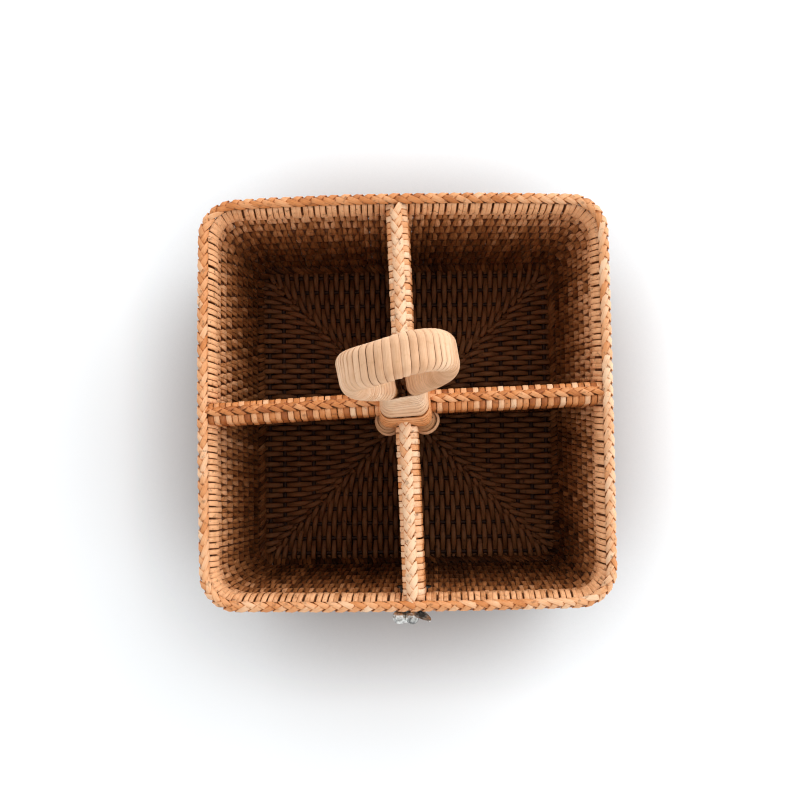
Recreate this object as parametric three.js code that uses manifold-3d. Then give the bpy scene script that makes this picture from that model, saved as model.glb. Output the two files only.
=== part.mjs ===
// Woven rattan cutlery caddy: a flared square basket, a cross divider and a wrapped loop handle.
// Millimetres, +Z up. The origin is the middle of the underside, +X the right side, -Y the front.
import * as THREE from "three";
import { mergeVertices } from "three/addons/utils/BufferGeometryUtils.js";
import Module from "manifold-3d";

// Basket
const RIM_WIDTH = 180; // outside the braided rim, the same both ways
const BASE_WIDTH = 158; // outside the floor
const BODY_HEIGHT = 100; // underside to the top of the rim
const CORNER_RADIUS = 13; // outer corners, floor to rim
const FLOOR_THICKNESS = 4.3;
const WALL_THICKNESS = 4.4;
const WALL_COURSES = 9;
const TOP_COURSE = 1.45; // height of the wall's top course, in courses
const TOP_BULGE = 2.2; // how far the top course stands into the basket, over its thicker hoop
const FLOOR_COURSES = 10; // square rings from the middle to the wall
const COURSE_GROOVE = 1.7; // depth of the groove between two courses of the wall or a divider
const FLOOR_GROOVE = 1.2; // the same on the floor
const CLEARANCE = 0.3; // between pieces that touch
const CORNER_STEPS = 4; // facets in a rounded corner

// Rim and divider edges
const RIM_ROD_DIAMETER = 3;
const BRAID_THICKNESS = 0.9; // of the braid on the rim and on the caps
const ARC_STEPS = 6; // facets over the top of a braid
const ROD_SIDES = 8;

// Dividers
const DIVIDER_THICKNESS = 5;
const CAP_ROD_DIAMETER = 7; // edge rods of the dividers
const CAP_LAP = 3; // how far a cap reaches down over its divider
const CAP_DROP = 1; // tops of the caps below the top of the rim
const DIVIDER_TURN = 1.8; // degrees, dividers and handle against the walls, counter-clockwise from above

// Handle
const ROD_DIAMETER = 6.5; // each of the two bent rods
const ROD_GAP = 0.4; // between neighbouring rods where they are bundled
const HANDLE_RISE = 115; // top of the rim to the top of the wrapped loop
const LOOP_WIDTH = 45; // outside the wrapped loop
const CROWN_HEIGHT = 25; // rounded top part of the loop
const COLLAR_RISE = 10.5; // caps to the foot of the neck
const NECK_LENGTH = 13.5; // where the four legs run together
const NECK_SPREAD = 5.2; // from the middle to a leg at the neck, along the loop
const HANDLE_SETBACK = 6.8; // how far the neck stands behind the crossing
const HANDLE_SHIFT = 1.2; // how far the neck stands to its left
const HANDLE_LEAN = 0.5; // degrees, to the back
const HANDLE_TWIST = 8.2; // degrees, counter-clockwise from above
const CROWN_SWAY = 0.8; // the crown's left half to the front, its right half to the back
const GATHER_STEPS = 9; // facets where a leg draws in to the neck
const LOOP_STEPS = 40; // facets along the loop

// Cane windings
const CANE_THICKNESS = 0.9; // on the legs, the collar and the neck
const WRAP_THICKNESS = 0.8; // on the loop
const TURN_GAP = 0.6; // between the turns of a lashing
const WRAP_GAP = 0.95; // between the turns on the loop, along its middle line
const WRAP_TURNS = 24;
const COLLAR_TURNS = 6;
const NECK_TURNS = 2;
const LEG_TURNS = 3;
const LEG_LASHING_HEIGHT = 10;
const LEG_STEPS = 12; // facets round one leg
const BUNDLE_ARC_STEPS = 4; // facets round one corner of the bundle of legs
const WRAP_ARC_STEPS = 6; // facets round one edge of the wrapped band

// Cast sprig on the front wall
const SPRIG_DROP = 18; // middle of the sprig below the top of the rim
const SPRIG_SHIFT = 0.8; // to the right of the middle
const LEAF_LENGTH = 13;
const LEAF_WIDTH = 7.5;
const LEAF_THICKNESS = 1.6;
const BERRY_RADIUS = 3.1;
const WEB_WIDTH = 15.4; // of the cast web behind the berries and leaves
const WEB_HEIGHT = 13;
const PIN_DIAMETER = 1.6;
const PIN_HEAD_DIAMETER = 4.4;
const PIN_HEAD_THICKNESS = 0.8;
const PIN_DEPTH = 1.8; // how far a pin reaches into the sprig

const wasm = await Module();
wasm.setup();

const peel = new THREE.MeshStandardMaterial({ color: 0xb87a45, roughness: 0.6, metalness: 0 });
const braid = new THREE.MeshStandardMaterial({ color: 0xd9a274, roughness: 0.55, metalness: 0 });
const cane = new THREE.MeshStandardMaterial({ color: 0xe3c197, roughness: 0.5, metalness: 0 });
const rattan = new THREE.MeshStandardMaterial({ color: 0xc08a55, roughness: 0.6, metalness: 0 });
const pewter = new THREE.MeshStandardMaterial({ color: 0xa9a9a6, roughness: 0.35, metalness: 1 });

const group = new THREE.Group();
group.name = "cutlery_caddy";

function addPiece(name, geometry, material) {
  const mesh = new THREE.Mesh(geometry, material);
  mesh.name = name;
  group.add(mesh);
}

// Dividers and handle stand slightly turned in the basket, as it is woven by hand.
function addInner(name, geometry, material) {
  addPiece(name, geometry.rotateZ(THREE.MathUtils.degToRad(DIVIDER_TURN)), material);
}

const mix = (a, b, t) => a + (b - a) * t;
const smooth = (t) => {
  const c = Math.min(Math.max(t, 0), 1);
  return c * c * (3 - 2 * c);
};

// Joins rings of points into one closed skin. A loop of rings closes on itself, a row of rings gets two ends.
function skin(rings, isLoop) {
  const count = rings[0].length;
  const points = rings.flat();
  const index = [];
  const bands = isLoop ? rings.length : rings.length - 1;
  for (let i = 0; i < bands; i++) {
    const here = i * count;
    const next = ((i + 1) % rings.length) * count;
    for (let k = 0; k < count; k++) {
      const l = (k + 1) % count;
      index.push(here + k, here + l, next + l, here + k, next + l, next + k);
    }
  }
  if (!isLoop) {
    const last = (rings.length - 1) * count;
    const middles = [rings[0], rings[rings.length - 1]].map((ring) =>
      ring.reduce((sum, p) => sum.add(p), new THREE.Vector3()).divideScalar(count),
    );
    points.push(...middles);
    for (let k = 0; k < count; k++) {
      const l = (k + 1) % count;
      index.push(points.length - 2, l, k, points.length - 1, last + k, last + l);
    }
  }
  const geometry = new THREE.BufferGeometry();
  geometry.setAttribute("position", new THREE.Float32BufferAttribute(points.flatMap((p) => p.toArray()), 3));
  geometry.setIndex(enclosed(points, index) < 0 ? index.reverse() : index);
  return geometry;
}

// Six times the volume inside a skin, negative when its faces point inwards.
function enclosed(points, index) {
  let sum = 0;
  for (let i = 0; i < index.length; i += 3) {
    const [a, b, c] = [points[index[i]], points[index[i + 1]], points[index[i + 2]]];
    sum += a.dot(b.clone().cross(c));
  }
  return sum;
}

function toManifold(geometry) {
  const bare = geometry.clone();
  bare.deleteAttribute("normal");
  bare.deleteAttribute("uv");
  const merged = mergeVertices(bare, 1e-4);
  return new wasm.Manifold(
    new wasm.Mesh({
      numProp: 3,
      vertProperties: new Float32Array(merged.attributes.position.array),
      triVerts: new Uint32Array(merged.index.array),
    }),
  );
}

function fromManifold(body) {
  const mesh = body.getMesh();
  const geometry = new THREE.BufferGeometry();
  geometry.setAttribute("position", new THREE.BufferAttribute(new Float32Array(mesh.vertProperties), 3));
  geometry.setIndex(Array.from(mesh.triVerts));
  return geometry;
}

// A level square ring with rounded corners.
function squareRing(half, radius, z) {
  const ring = [];
  for (let corner = 0; corner < 4; corner++) {
    const start = corner * 90;
    const away = start + 45;
    const cx = Math.sign(Math.cos(THREE.MathUtils.degToRad(away))) * (half - radius);
    const cy = Math.sign(Math.sin(THREE.MathUtils.degToRad(away))) * (half - radius);
    for (let k = 0; k <= CORNER_STEPS; k++) {
      const angle = THREE.MathUtils.degToRad(start + (90 * k) / CORNER_STEPS);
      ring.push(new THREE.Vector3(cx + radius * Math.cos(angle), cy + radius * Math.sin(angle), z));
    }
  }
  return ring;
}

// Levels and widths that the basket's pieces share
const rimSection = RIM_ROD_DIAMETER + 2 * (CLEARANCE + BRAID_THICKNESS);
const rimMiddle = RIM_WIDTH / 2 - rimSection / 2;
const rimRodLevel = BODY_HEIGHT - rimSection / 2;
const wallTop = rimRodLevel - RIM_ROD_DIAMETER / 2 - CLEARANCE;
const wallBottom = FLOOR_THICKNESS + CLEARANCE;
const floorHalf = BASE_WIDTH / 2;
const wallTopHalf = rimMiddle + WALL_THICKNESS / 2;
const coursePitch = (wallTop - wallBottom) / (WALL_COURSES - 1 + TOP_COURSE);
const topCourseFoot = wallTop - TOP_COURSE * coursePitch;
const wallSlope = (wallTopHalf - floorHalf) / (wallTop - wallBottom);
const wallOuter = (z) => floorHalf + wallSlope * (z - wallBottom);
const wallInner = (z) => wallOuter(z) - WALL_THICKNESS;
const bulgeFoot = topCourseFoot - 0.5 * coursePitch;
const wallFace = (z) => wallInner(z) - (z > bulgeFoot ? TOP_BULGE : 0);

// Heights up a stack of courses with the groove depth at each: a groove, then the two shoulders of a course.
// The last course can be taller or shorter than the others.
function courseSteps(bottom, pitch, courses, depth, lastCourse) {
  const steps = [];
  for (let i = 0; i < courses; i++) {
    const low = bottom + i * pitch;
    const height = i < courses - 1 ? pitch : lastCourse * pitch;
    steps.push({ z: low, groove: depth });
    steps.push({ z: low + 0.25 * height, groove: 0 });
    steps.push({ z: low + 0.75 * height, groove: 0 });
  }
  steps.push({ z: bottom + (courses - 1 + lastCourse) * pitch, groove: depth });
  return steps;
}

// Floor: flat below, with square courses on top and a flat border that carries the wall
const borderHalf = floorHalf - WALL_THICKNESS;
const floorPitch = borderHalf / FLOOR_COURSES;
const cornerAt = (half) => (CORNER_RADIUS * half) / floorHalf;
const floorRing = (half, z) => squareRing(half, cornerAt(half), z);
const floorEdge = FLOOR_THICKNESS / 2;
const floorRings = [floorRing(floorHalf - floorEdge, 0)];
for (let k = -1; k <= 1; k++) {
  const bulge = floorEdge * (1 - Math.cos(THREE.MathUtils.degToRad(45 * k)));
  floorRings.push(floorRing(floorHalf - bulge, floorEdge * (1 + 0.7 * k)));
}
floorRings.push(floorRing(floorHalf - floorEdge / 2, FLOOR_THICKNESS));
floorRings.push(floorRing(borderHalf + 0.2 * floorPitch, FLOOR_THICKNESS));
for (const step of courseSteps(0, floorPitch, FLOOR_COURSES, FLOOR_GROOVE, 1).reverse()) {
  if (step.z > 0) floorRings.push(floorRing(step.z, FLOOR_THICKNESS - step.groove));
}
addPiece("floor_weave", skin(floorRings, false), peel);

// Wall: one flared tube of stacked courses, grooved inside and out
const wallSteps = courseSteps(wallBottom, coursePitch, WALL_COURSES, COURSE_GROOVE, TOP_COURSE);
const wallRings = [
  ...wallSteps.map((s) => squareRing(wallOuter(s.z) - s.groove, CORNER_RADIUS - s.groove, s.z)),
  ...wallSteps
    .slice()
    .reverse()
    .map((s) => {
      const inTop = s.z > topCourseFoot && s.groove === 0;
      const cut = s.groove - (inTop ? TOP_BULGE : 0);
      return squareRing(wallInner(s.z) + cut, CORNER_RADIUS - WALL_THICKNESS + cut, s.z);
    }),
];
const wallBody = toManifold(skin(wallRings, true));

// Rim: a round rod on the wall and a braid that arches over it
const rimRodRings = [];
for (let k = 0; k < ROD_SIDES; k++) {
  const angle = (2 * Math.PI * k) / ROD_SIDES;
  const out = (RIM_ROD_DIAMETER / 2) * Math.cos(angle);
  const z = rimRodLevel + (RIM_ROD_DIAMETER / 2) * Math.sin(angle);
  rimRodRings.push(squareRing(rimMiddle + out, CORNER_RADIUS - rimSection / 2 + out, z));
}
addPiece("rim_rod", skin(rimRodRings, true), rattan);

// Section of a braid arched over a rod: across the edge and up, with both legs ending at the same level.
function archSection(innerRadius, level, foot) {
  const outerRadius = innerRadius + BRAID_THICKNESS;
  const section = [[outerRadius, foot]];
  const arc = (radius, k) => {
    const angle = (Math.PI * k) / ARC_STEPS;
    return [radius * Math.cos(angle), level + radius * Math.sin(angle)];
  };
  for (let k = 0; k <= ARC_STEPS; k++) section.push(arc(outerRadius, k));
  section.push([-outerRadius, foot], [-innerRadius, foot]);
  for (let k = ARC_STEPS; k >= 0; k--) section.push(arc(innerRadius, k));
  section.push([innerRadius, foot]);
  return section;
}

const archInner = (rodDiameter) => (rodDiameter / 2 + CLEARANCE) / Math.cos(Math.PI / (2 * ARC_STEPS));
const rimArch = archSection(RIM_ROD_DIAMETER / 2 + CLEARANCE, rimRodLevel, wallTop + CLEARANCE);
const rimBraidRings = rimArch.map(([out, z]) =>
  squareRing(rimMiddle + out, CORNER_RADIUS - rimSection / 2 + out, z),
);
addPiece("rim_braid", skin(rimBraidRings, true), braid);

// Dividers: two panels of stacked courses, halved into each other at the crossing
const capInner = archInner(CAP_ROD_DIAMETER);
const capRodLevel = BODY_HEIGHT - CAP_DROP - capInner - BRAID_THICKNESS;
const capTop = BODY_HEIGHT - CAP_DROP;
const dividerTop = capRodLevel - CAP_ROD_DIAMETER / 2 - CLEARANCE;
const dividerBottom = FLOOR_THICKNESS + CLEARANCE;
const halving = (dividerTop + dividerBottom) / 2;
const slotWidth = DIVIDER_THICKNESS + 2 * CLEARANCE;

// A panel along X, between the walls, with a slot at its middle from one level to another.
function dividerPanel(slotFrom, slotTo) {
  const pitch = (dividerTop - dividerBottom) / WALL_COURSES;
  const rings = courseSteps(dividerBottom, pitch, WALL_COURSES, COURSE_GROOVE, 1).map((s) => {
    const end = wallFace(s.z) - CLEARANCE;
    const side = DIVIDER_THICKNESS / 2 - s.groove;
    return [
      [end, side],
      [-end, side],
      [-end, -side],
      [end, -side],
    ].map(([x, y]) => new THREE.Vector3(x, y, s.z));
  });
  const slot = new THREE.BoxGeometry(slotWidth, 2 * DIVIDER_THICKNESS, slotTo - slotFrom);
  slot.translate(0, 0, (slotFrom + slotTo) / 2);
  return fromManifold(toManifold(skin(rings, false)).subtract(toManifold(slot)));
}

const beyond = DIVIDER_THICKNESS;
addInner("divider_cross", dividerPanel(halving - CLEARANCE / 2, dividerTop + beyond), peel);
const foreAft = dividerPanel(dividerBottom - beyond, halving + CLEARANCE / 2);
addInner("divider_fore_aft", foreAft.rotateZ(Math.PI / 2), peel);

// Handle: widths of the bundle of four legs and of the loop
const rodRadius = ROD_DIAMETER / 2;
const lashInner = (rodRadius + CLEARANCE) / Math.cos(Math.PI / LEG_STEPS);
const legOffset = DIVIDER_THICKNESS / 2 + CLEARANCE + CANE_THICKNESS + lashInner;
const neckOffset = rodRadius + ROD_GAP / 2;
const gatherStart = dividerTop + CLEARANCE - capTop;
const neckFoot = COLLAR_RISE;
const neckTop = neckFoot + NECK_LENGTH;
const wrapInner = (rodRadius + CLEARANCE) / Math.cos(Math.PI / (2 * WRAP_ARC_STEPS));
const loopTop = CAP_DROP + HANDLE_RISE - WRAP_THICKNESS - wrapInner;
const loopHalf = LOOP_WIDTH / 2 - WRAP_THICKNESS - wrapInner;
const crownFoot = loopTop - CROWN_HEIGHT;

// From the handle's own directions to the basket's: along the loop, across it, and up from the caps.
// The legs are set back as they rise to the neck. Above the caps the handle twists and leans, and its crown sways.
function place(along, across, rise) {
  const twist = THREE.MathUtils.degToRad(HANDLE_TWIST) * smooth(rise / neckFoot);
  const lean = Math.tan(THREE.MathUtils.degToRad(HANDLE_LEAN)) * Math.max(rise, 0);
  const settled = smooth((rise - gatherStart) / (neckTop - gatherStart));
  const inCrown = smooth((rise - crownFoot + CROWN_HEIGHT) / (2 * CROWN_HEIGHT));
  const sway = CROWN_SWAY * Math.sin((2 * Math.PI * along) / LOOP_WIDTH) * inCrown;
  const x = along * Math.cos(twist) - across * Math.sin(twist) - HANDLE_SHIFT * settled;
  const y = along * Math.sin(twist) + across * Math.cos(twist) + HANDLE_SETBACK * settled + lean + sway;
  return new THREE.Vector3(x, y, capTop + rise);
}

// How far each leg stands from the middle, along the loop and across it: wide in the basket, drawn in at the neck.
const drawnIn = (rise) => smooth((rise - gatherStart) / (neckFoot - gatherStart));
const gatherAlong = (rise) => mix(legOffset, NECK_SPREAD, drawnIn(rise));
const gatherAcross = (rise) => mix(legOffset, neckOffset, drawnIn(rise));

// Middle line of the loop in its own plane: the legs flare from the neck and meet over a rounded crown.
const loop = new THREE.CurvePath();
const flat = (along, rise) => new THREE.Vector3(along, 0, rise);
const flare = crownFoot - neckTop;
const sidePoints = [
  flat(NECK_SPREAD, neckTop),
  flat(NECK_SPREAD, neckTop + 0.06 * flare),
  flat(1.12 * loopHalf, crownFoot - 0.72 * flare),
  flat(loopHalf, crownFoot),
];
const crownPoints = [
  flat(loopHalf, crownFoot),
  flat(loopHalf, crownFoot + 0.6 * CROWN_HEIGHT),
  flat(0.62 * loopHalf, loopTop),
  flat(0, loopTop),
];
const mirrored = (points) => points.map((p) => flat(-p.x, p.z));
loop.add(new THREE.CubicBezierCurve3(...mirrored(sidePoints)));
loop.add(new THREE.CubicBezierCurve3(...mirrored(crownPoints)));
loop.add(new THREE.CubicBezierCurve3(...crownPoints.slice().reverse()));
loop.add(new THREE.CubicBezierCurve3(...sidePoints.slice().reverse()));
loop.arcLengthDivisions = 400;
const loopLength = loop.getLength();

// A round rod along a row of points, with each section square to the path.
function rodAlong(points, radius, sides) {
  let side = new THREE.Vector3(0, 1, 0);
  const rings = points.map((p, i) => {
    const before = points[Math.max(i - 1, 0)];
    const after = points[Math.min(i + 1, points.length - 1)];
    const ahead = after.clone().sub(before).normalize();
    side = side.sub(ahead.clone().multiplyScalar(side.dot(ahead))).normalize();
    const third = ahead.clone().cross(side);
    const ring = [];
    for (let k = 0; k < sides; k++) {
      const angle = (2 * Math.PI * k) / sides;
      ring.push(
        p
          .clone()
          .addScaledVector(side, radius * Math.cos(angle))
          .addScaledVector(third, radius * Math.sin(angle)),
      );
    }
    return ring;
  });
  return skin(rings, false);
}

const gatherRises = Array.from({ length: GATHER_STEPS }, (_, k) => mix(gatherStart, neckTop, k / GATHER_STEPS));
for (const [name, across] of [["front", -1], ["back", 1]]) {
  const leg = (sign, rise) => place(sign * gatherAlong(rise), across * gatherAcross(rise), rise);
  const footRise = FLOOR_THICKNESS + CLEARANCE - capTop;
  const path = [leg(-1, footRise), ...gatherRises.map((rise) => leg(-1, rise))];
  for (let k = 0; k <= LOOP_STEPS; k++) {
    const p = loop.getPointAt(k / LOOP_STEPS);
    path.push(place(p.x, across * neckOffset, p.z));
  }
  path.push(...gatherRises.slice().reverse().map((rise) => leg(1, rise)), leg(1, footRise));
  addInner(`handle_rod_${name}`, rodAlong(path, rodRadius, ROD_SIDES), rattan);
}

// Least distance between points of a winding that lie more than half a turn apart.
function leastGap(name, sections, stepsPerTurn) {
  let least = Infinity;
  sections.forEach((section, i) => {
    for (const other of sections.slice(i + Math.ceil(stepsPerTurn / 2) + 1)) {
      for (const p of section) for (const q of other) least = Math.min(least, p.distanceTo(q));
    }
  });
  console.log(`${name}: least gap to itself ${least.toFixed(3)} mm`);
}

// Wrap: one flat cane wound round both rods, from one side of the neck over the loop to the other.
// Its edges are set along the loop, so it narrows inside the bend and widens outside it.
const sideRoom = wrapInner + WRAP_THICKNESS + WRAP_GAP / 2;
let wrapStart = (2 * CLEARANCE) / loopLength;
while (Math.abs(loop.getPointAt(wrapStart).x) < sideRoom) wrapStart += 0.002;
const wrapSpan = (1 - 2 * wrapStart) * loopLength;
const wrapSteps = 2 * (WRAP_ARC_STEPS + 2);
const wrapPitch = (wrapSpan + WRAP_GAP) / (WRAP_TURNS + 1);
const wrapWidth = wrapPitch - WRAP_GAP;

// A point at a distance along the loop, at one step round the band, lifted off the rods.
function onBand(distance, step, lift) {
  const at = Math.min(Math.max(distance / loopLength, 0), 1);
  const p = loop.getPointAt(at);
  const ahead = loop.getTangentAt(at);
  const half = WRAP_ARC_STEPS + 2;
  const edge = Math.floor(step / half) % 2 === 0 ? 1 : -1;
  const k = step % half;
  const onArc = k <= WRAP_ARC_STEPS;
  const angle = Math.PI * (Math.min(k, WRAP_ARC_STEPS) / WRAP_ARC_STEPS - 0.5);
  const across = onArc ? edge * (neckOffset + lift * Math.cos(angle)) : 0;
  const out = edge * lift * (onArc ? Math.sin(angle) : 1);
  return place(p.x - ahead.z * out, across, p.z + ahead.x * out);
}

const wrapSections = [];
for (let i = 0; i <= WRAP_TURNS * wrapSteps; i++) {
  const middle = wrapStart * loopLength + wrapWidth / 2 + (wrapPitch * i) / wrapSteps;
  const low = wrapInner;
  const high = wrapInner + WRAP_THICKNESS;
  const spots = [
    [-0.5, low],
    [0, low],
    [0.5, low],
    [0.5, high],
    [0, high],
    [-0.5, high],
  ];
  wrapSections.push(spots.map(([share, lift]) => onBand(middle + share * wrapWidth, i % wrapSteps, lift)));
}
addInner("handle_wrap", skin(wrapSections, false), cane);
leastGap("handle_wrap", wrapSections, wrapSteps);

// A cane wound round all four legs between two heights above the caps.
const bundleSide = BUNDLE_ARC_STEPS + 2;
const bundleSteps = 4 * bundleSide;
const legSigns = [
  [1, 1],
  [-1, 1],
  [-1, -1],
  [1, -1],
];

// Half the level width of a leg, which grows as the leg slants, with room for the winding.
function legRoom(rise) {
  const slants = legSigns.map(([x, y]) => {
    const above = place(x * gatherAlong(rise + 0.1), y * gatherAcross(rise + 0.1), rise + 0.1);
    const below = place(x * gatherAlong(rise - 0.1), y * gatherAcross(rise - 0.1), rise - 0.1);
    return above.distanceTo(below) / 0.2;
  });
  return rodRadius * Math.max(...slants) + CLEARANCE;
}

function bundleWinding(name, from, to, turns) {
  const pitch = (to - from + TURN_GAP) / (turns + 1);
  const width = pitch - TURN_GAP;
  const point = (step, rise, lift) => {
    const corner = Math.floor(step / bundleSide) % 4;
    const k = step % bundleSide;
    const reach = legRoom(rise) / Math.cos(Math.PI / (4 * BUNDLE_ARC_STEPS)) + lift;
    const [signAlong, signAcross] = legSigns[corner];
    const angle = (Math.PI / 2) * (corner + Math.min(k, BUNDLE_ARC_STEPS) / BUNDLE_ARC_STEPS);
    const along = signAlong * gatherAlong(rise) + reach * Math.cos(angle);
    const across = signAcross * gatherAcross(rise) + reach * Math.sin(angle);
    if (k <= BUNDLE_ARC_STEPS) return place(along, across, rise);
    return corner % 2 === 0 ? place(0, across, rise) : place(along, 0, rise);
  };
  const sections = [];
  for (let i = 0; i <= turns * bundleSteps; i++) {
    const low = from + (pitch * i) / bundleSteps;
    const corners = [
      [low, 0],
      [low + width, 0],
      [low + width, CANE_THICKNESS],
      [low, CANE_THICKNESS],
    ];
    sections.push(corners.map(([rise, lift]) => point(i % bundleSteps, rise, lift)));
  }
  leastGap(name, sections, bundleSteps);
  return skin(sections, false);
}

addInner("collar_lashing", bundleWinding("collar_lashing", gatherStart, neckFoot, COLLAR_TURNS), braid);
addInner("neck_band", bundleWinding("neck_band", neckFoot + TURN_GAP, neckTop, NECK_TURNS), cane);

// A lashing wound round each leg, just under the collar
const legPitch = (LEG_LASHING_HEIGHT + TURN_GAP) / (LEG_TURNS + 1);
const legWidth = legPitch - TURN_GAP;
const legLashTop = dividerTop - CLEARANCE;
for (const [name, x, y] of [
  ["front_left", -1, -1],
  ["front_right", 1, -1],
  ["back_left", -1, 1],
  ["back_right", 1, 1],
]) {
  const sections = [];
  for (let i = 0; i <= LEG_TURNS * LEG_STEPS; i++) {
    const angle = (2 * Math.PI * i) / LEG_STEPS;
    const low = legLashTop - LEG_LASHING_HEIGHT + (legPitch * i) / LEG_STEPS;
    const corners = [
      [low, 0],
      [low + legWidth, 0],
      [low + legWidth, CANE_THICKNESS],
      [low, CANE_THICKNESS],
    ];
    sections.push(
      corners.map(([z, lift]) => {
        const reach = lashInner + lift;
        return new THREE.Vector3(
          x * legOffset + reach * Math.cos(angle),
          y * legOffset + reach * Math.sin(angle),
          z,
        );
      }),
    );
  }
  leastGap(`leg_lashing_${name}`, sections, LEG_STEPS);
  addInner(`leg_lashing_${name}`, skin(sections, false), cane);
}

// Caps: a braid arched over an edge rod on each arm of the dividers, from the collar to the wall
const capFoot = dividerTop - CAP_LAP;
const collarArc = (rodRadius + CLEARANCE) / Math.cos(Math.PI / (4 * BUNDLE_ARC_STEPS));
const collarReach = legOffset + collarArc + CANE_THICKNESS;
const capStart = collarReach + CLEARANCE;
const capEnd = wallFace(capFoot) - CLEARANCE;
const capShape = new THREE.Shape(
  archSection(capInner, capRodLevel, capFoot).map(([across, z]) => new THREE.Vector2(across, z)),
);
for (const [name, quarter] of [["right", 0], ["back", 1], ["left", 2], ["front", 3]]) {
  const cap = new THREE.ExtrudeGeometry(capShape, { depth: capEnd - capStart, bevelEnabled: false });
  cap.rotateX(Math.PI / 2);
  cap.rotateZ(Math.PI / 2);
  cap.translate(capStart, 0, 0);
  const rod = rodAlong(
    [new THREE.Vector3(capStart, 0, capRodLevel), new THREE.Vector3(capEnd, 0, capRodLevel)],
    CAP_ROD_DIAMETER / 2,
    ROD_SIDES,
  );
  addInner(`cap_${name}`, fromManifold(toManifold(cap)).rotateZ((quarter * Math.PI) / 2), braid);
  addInner(`cap_rod_${name}`, rod.rotateZ((quarter * Math.PI) / 2), rattan);
}

// Sprig, in the front wall's own directions: right, up the wall, out from it
const tilt = Math.atan(wallSlope);
const sprigHeight = BODY_HEIGHT - SPRIG_DROP;
const toFront = new THREE.Matrix4().makeBasis(
  new THREE.Vector3(1, 0, 0),
  new THREE.Vector3(0, -Math.sin(tilt), Math.cos(tilt)),
  new THREE.Vector3(0, -Math.cos(tilt), -Math.sin(tilt)),
);
toFront.setPosition(SPRIG_SHIFT, -wallOuter(sprigHeight), sprigHeight);

// A leaf along a bent midrib: pointed at both ends, lens-shaped across, highest on the midrib.
function leaf(base, bend, tip, width) {
  const midrib = new THREE.QuadraticBezierCurve3(base, bend, tip);
  const outward = new THREE.Vector3(0, 0, 1);
  const rings = [];
  const LEAF_STEPS = 8;
  for (let k = 0; k <= LEAF_STEPS; k++) {
    const t = k / LEAF_STEPS;
    const fullness = 0.08 + 0.92 * Math.sin(Math.PI * Math.pow(t, 0.8));
    const across = midrib.getTangentAt(t).cross(outward).normalize();
    const edge = (width / 2) * fullness;
    const crest = (LEAF_THICKNESS / 2) * (0.35 + 0.65 * fullness);
    const spots = [
      [1, 0],
      [0.5, 0.6],
      [0, 1],
      [-0.5, 0.6],
      [-1, 0],
      [-0.5, -0.6],
      [0, -1],
      [0.5, -0.6],
    ];
    rings.push(
      spots.map(([a, o]) =>
        midrib
          .getPointAt(t)
          .addScaledVector(across, a * edge)
          .addScaledVector(outward, o * crest),
      ),
    );
  }
  return toManifold(skin(rings, false));
}

function berry(x, up, out) {
  return toManifold(new THREE.SphereGeometry(BERRY_RADIUS, 12, 8).rotateX(Math.PI / 2)).translate([x, up, out]);
}

function post(radius, from, to, x) {
  const geometry = new THREE.CylinderGeometry(radius, radius, to - from, 14).rotateX(Math.PI / 2);
  return toManifold(geometry).translate([x, 0, (from + to) / 2]);
}

// Leaves are laid out in shares of a leaf's length, and berries in shares of a berry's radius.
const at = (x, up, out) => new THREE.Vector3(x, up, out).multiplyScalar(LEAF_LENGTH);
const berryAt = (x, up, out) => berry(x * BERRY_RADIUS, up * BERRY_RADIUS, out * BERRY_RADIUS);
const berryOut = 1.55;
const backLevel = CLEARANCE;
const leafRoot = new THREE.Vector3(0, 0, LEAF_THICKNESS / 2 + CLEARANCE);
const leaves = [
  leaf(leafRoot, at(0.54, 0.23, 0.5), at(0.66, 0.62, 0.49), LEAF_WIDTH),
  leaf(leafRoot, at(0.31, -0.46, 0.27), at(0.48, -1, 0.15), LEAF_WIDTH),
  leaf(leafRoot, at(-0.38, -0.38, 0.27), at(-0.58, -0.8, 0.15), LEAF_WIDTH),
];
const berries = [
  berryAt(-1.48, 1.94, berryOut),
  berryAt(0.29, 2.23, berryOut),
  berryAt(-0.55, 0.52, berryOut + 0.19),
];
const pinRoom = PIN_DEPTH + 2 * CLEARANCE;
const boss = (x) => post(PIN_HEAD_DIAMETER / 2, 0, backLevel + pinRoom + BRAID_THICKNESS, x);
// One pin stands on either side of the divider's front edge.
const turn = THREE.MathUtils.degToRad(DIVIDER_TURN);
const pinMiddle = wallFace(sprigHeight) * Math.tan(turn) - SPRIG_SHIFT;
const pinReach = DIVIDER_THICKNESS / (2 * Math.cos(turn)) + PIN_HEAD_DIAMETER / 2 + 2 * CLEARANCE;
const pinPlaces = [pinMiddle - pinReach, pinMiddle + pinReach];
const webDepth = berryOut * BERRY_RADIUS;
const webBall = new THREE.SphereGeometry(1, 16, 8).rotateX(Math.PI / 2);
const web = toManifold(webBall.scale(WEB_WIDTH / 2, WEB_HEIGHT / 2, webDepth));
const behindSize = 4 * WEB_WIDTH;
const behind = new THREE.BoxGeometry(behindSize, behindSize, behindSize);
behind.translate(0, 0, backLevel - behindSize / 2);
const pinHole = PIN_DIAMETER / 2 + CLEARANCE;
let sprig = [web, ...leaves, ...berries, ...pinPlaces.map(boss)].reduce((body, next) => body.add(next));
sprig = sprig.subtract(toManifold(behind));
let wallCut = wallBody;
for (const x of pinPlaces) {
  sprig = sprig.subtract(post(pinHole, backLevel - 1, backLevel + pinRoom, x));
  const bore = fromManifold(post(pinHole, -2 * WALL_THICKNESS, WALL_THICKNESS, x)).applyMatrix4(toFront);
  wallCut = wallCut.subtract(toManifold(bore));
}
addPiece("wall_weave", fromManifold(wallCut), peel);
addPiece("ornament_sprig", fromManifold(sprig).applyMatrix4(toFront), pewter);

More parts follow.
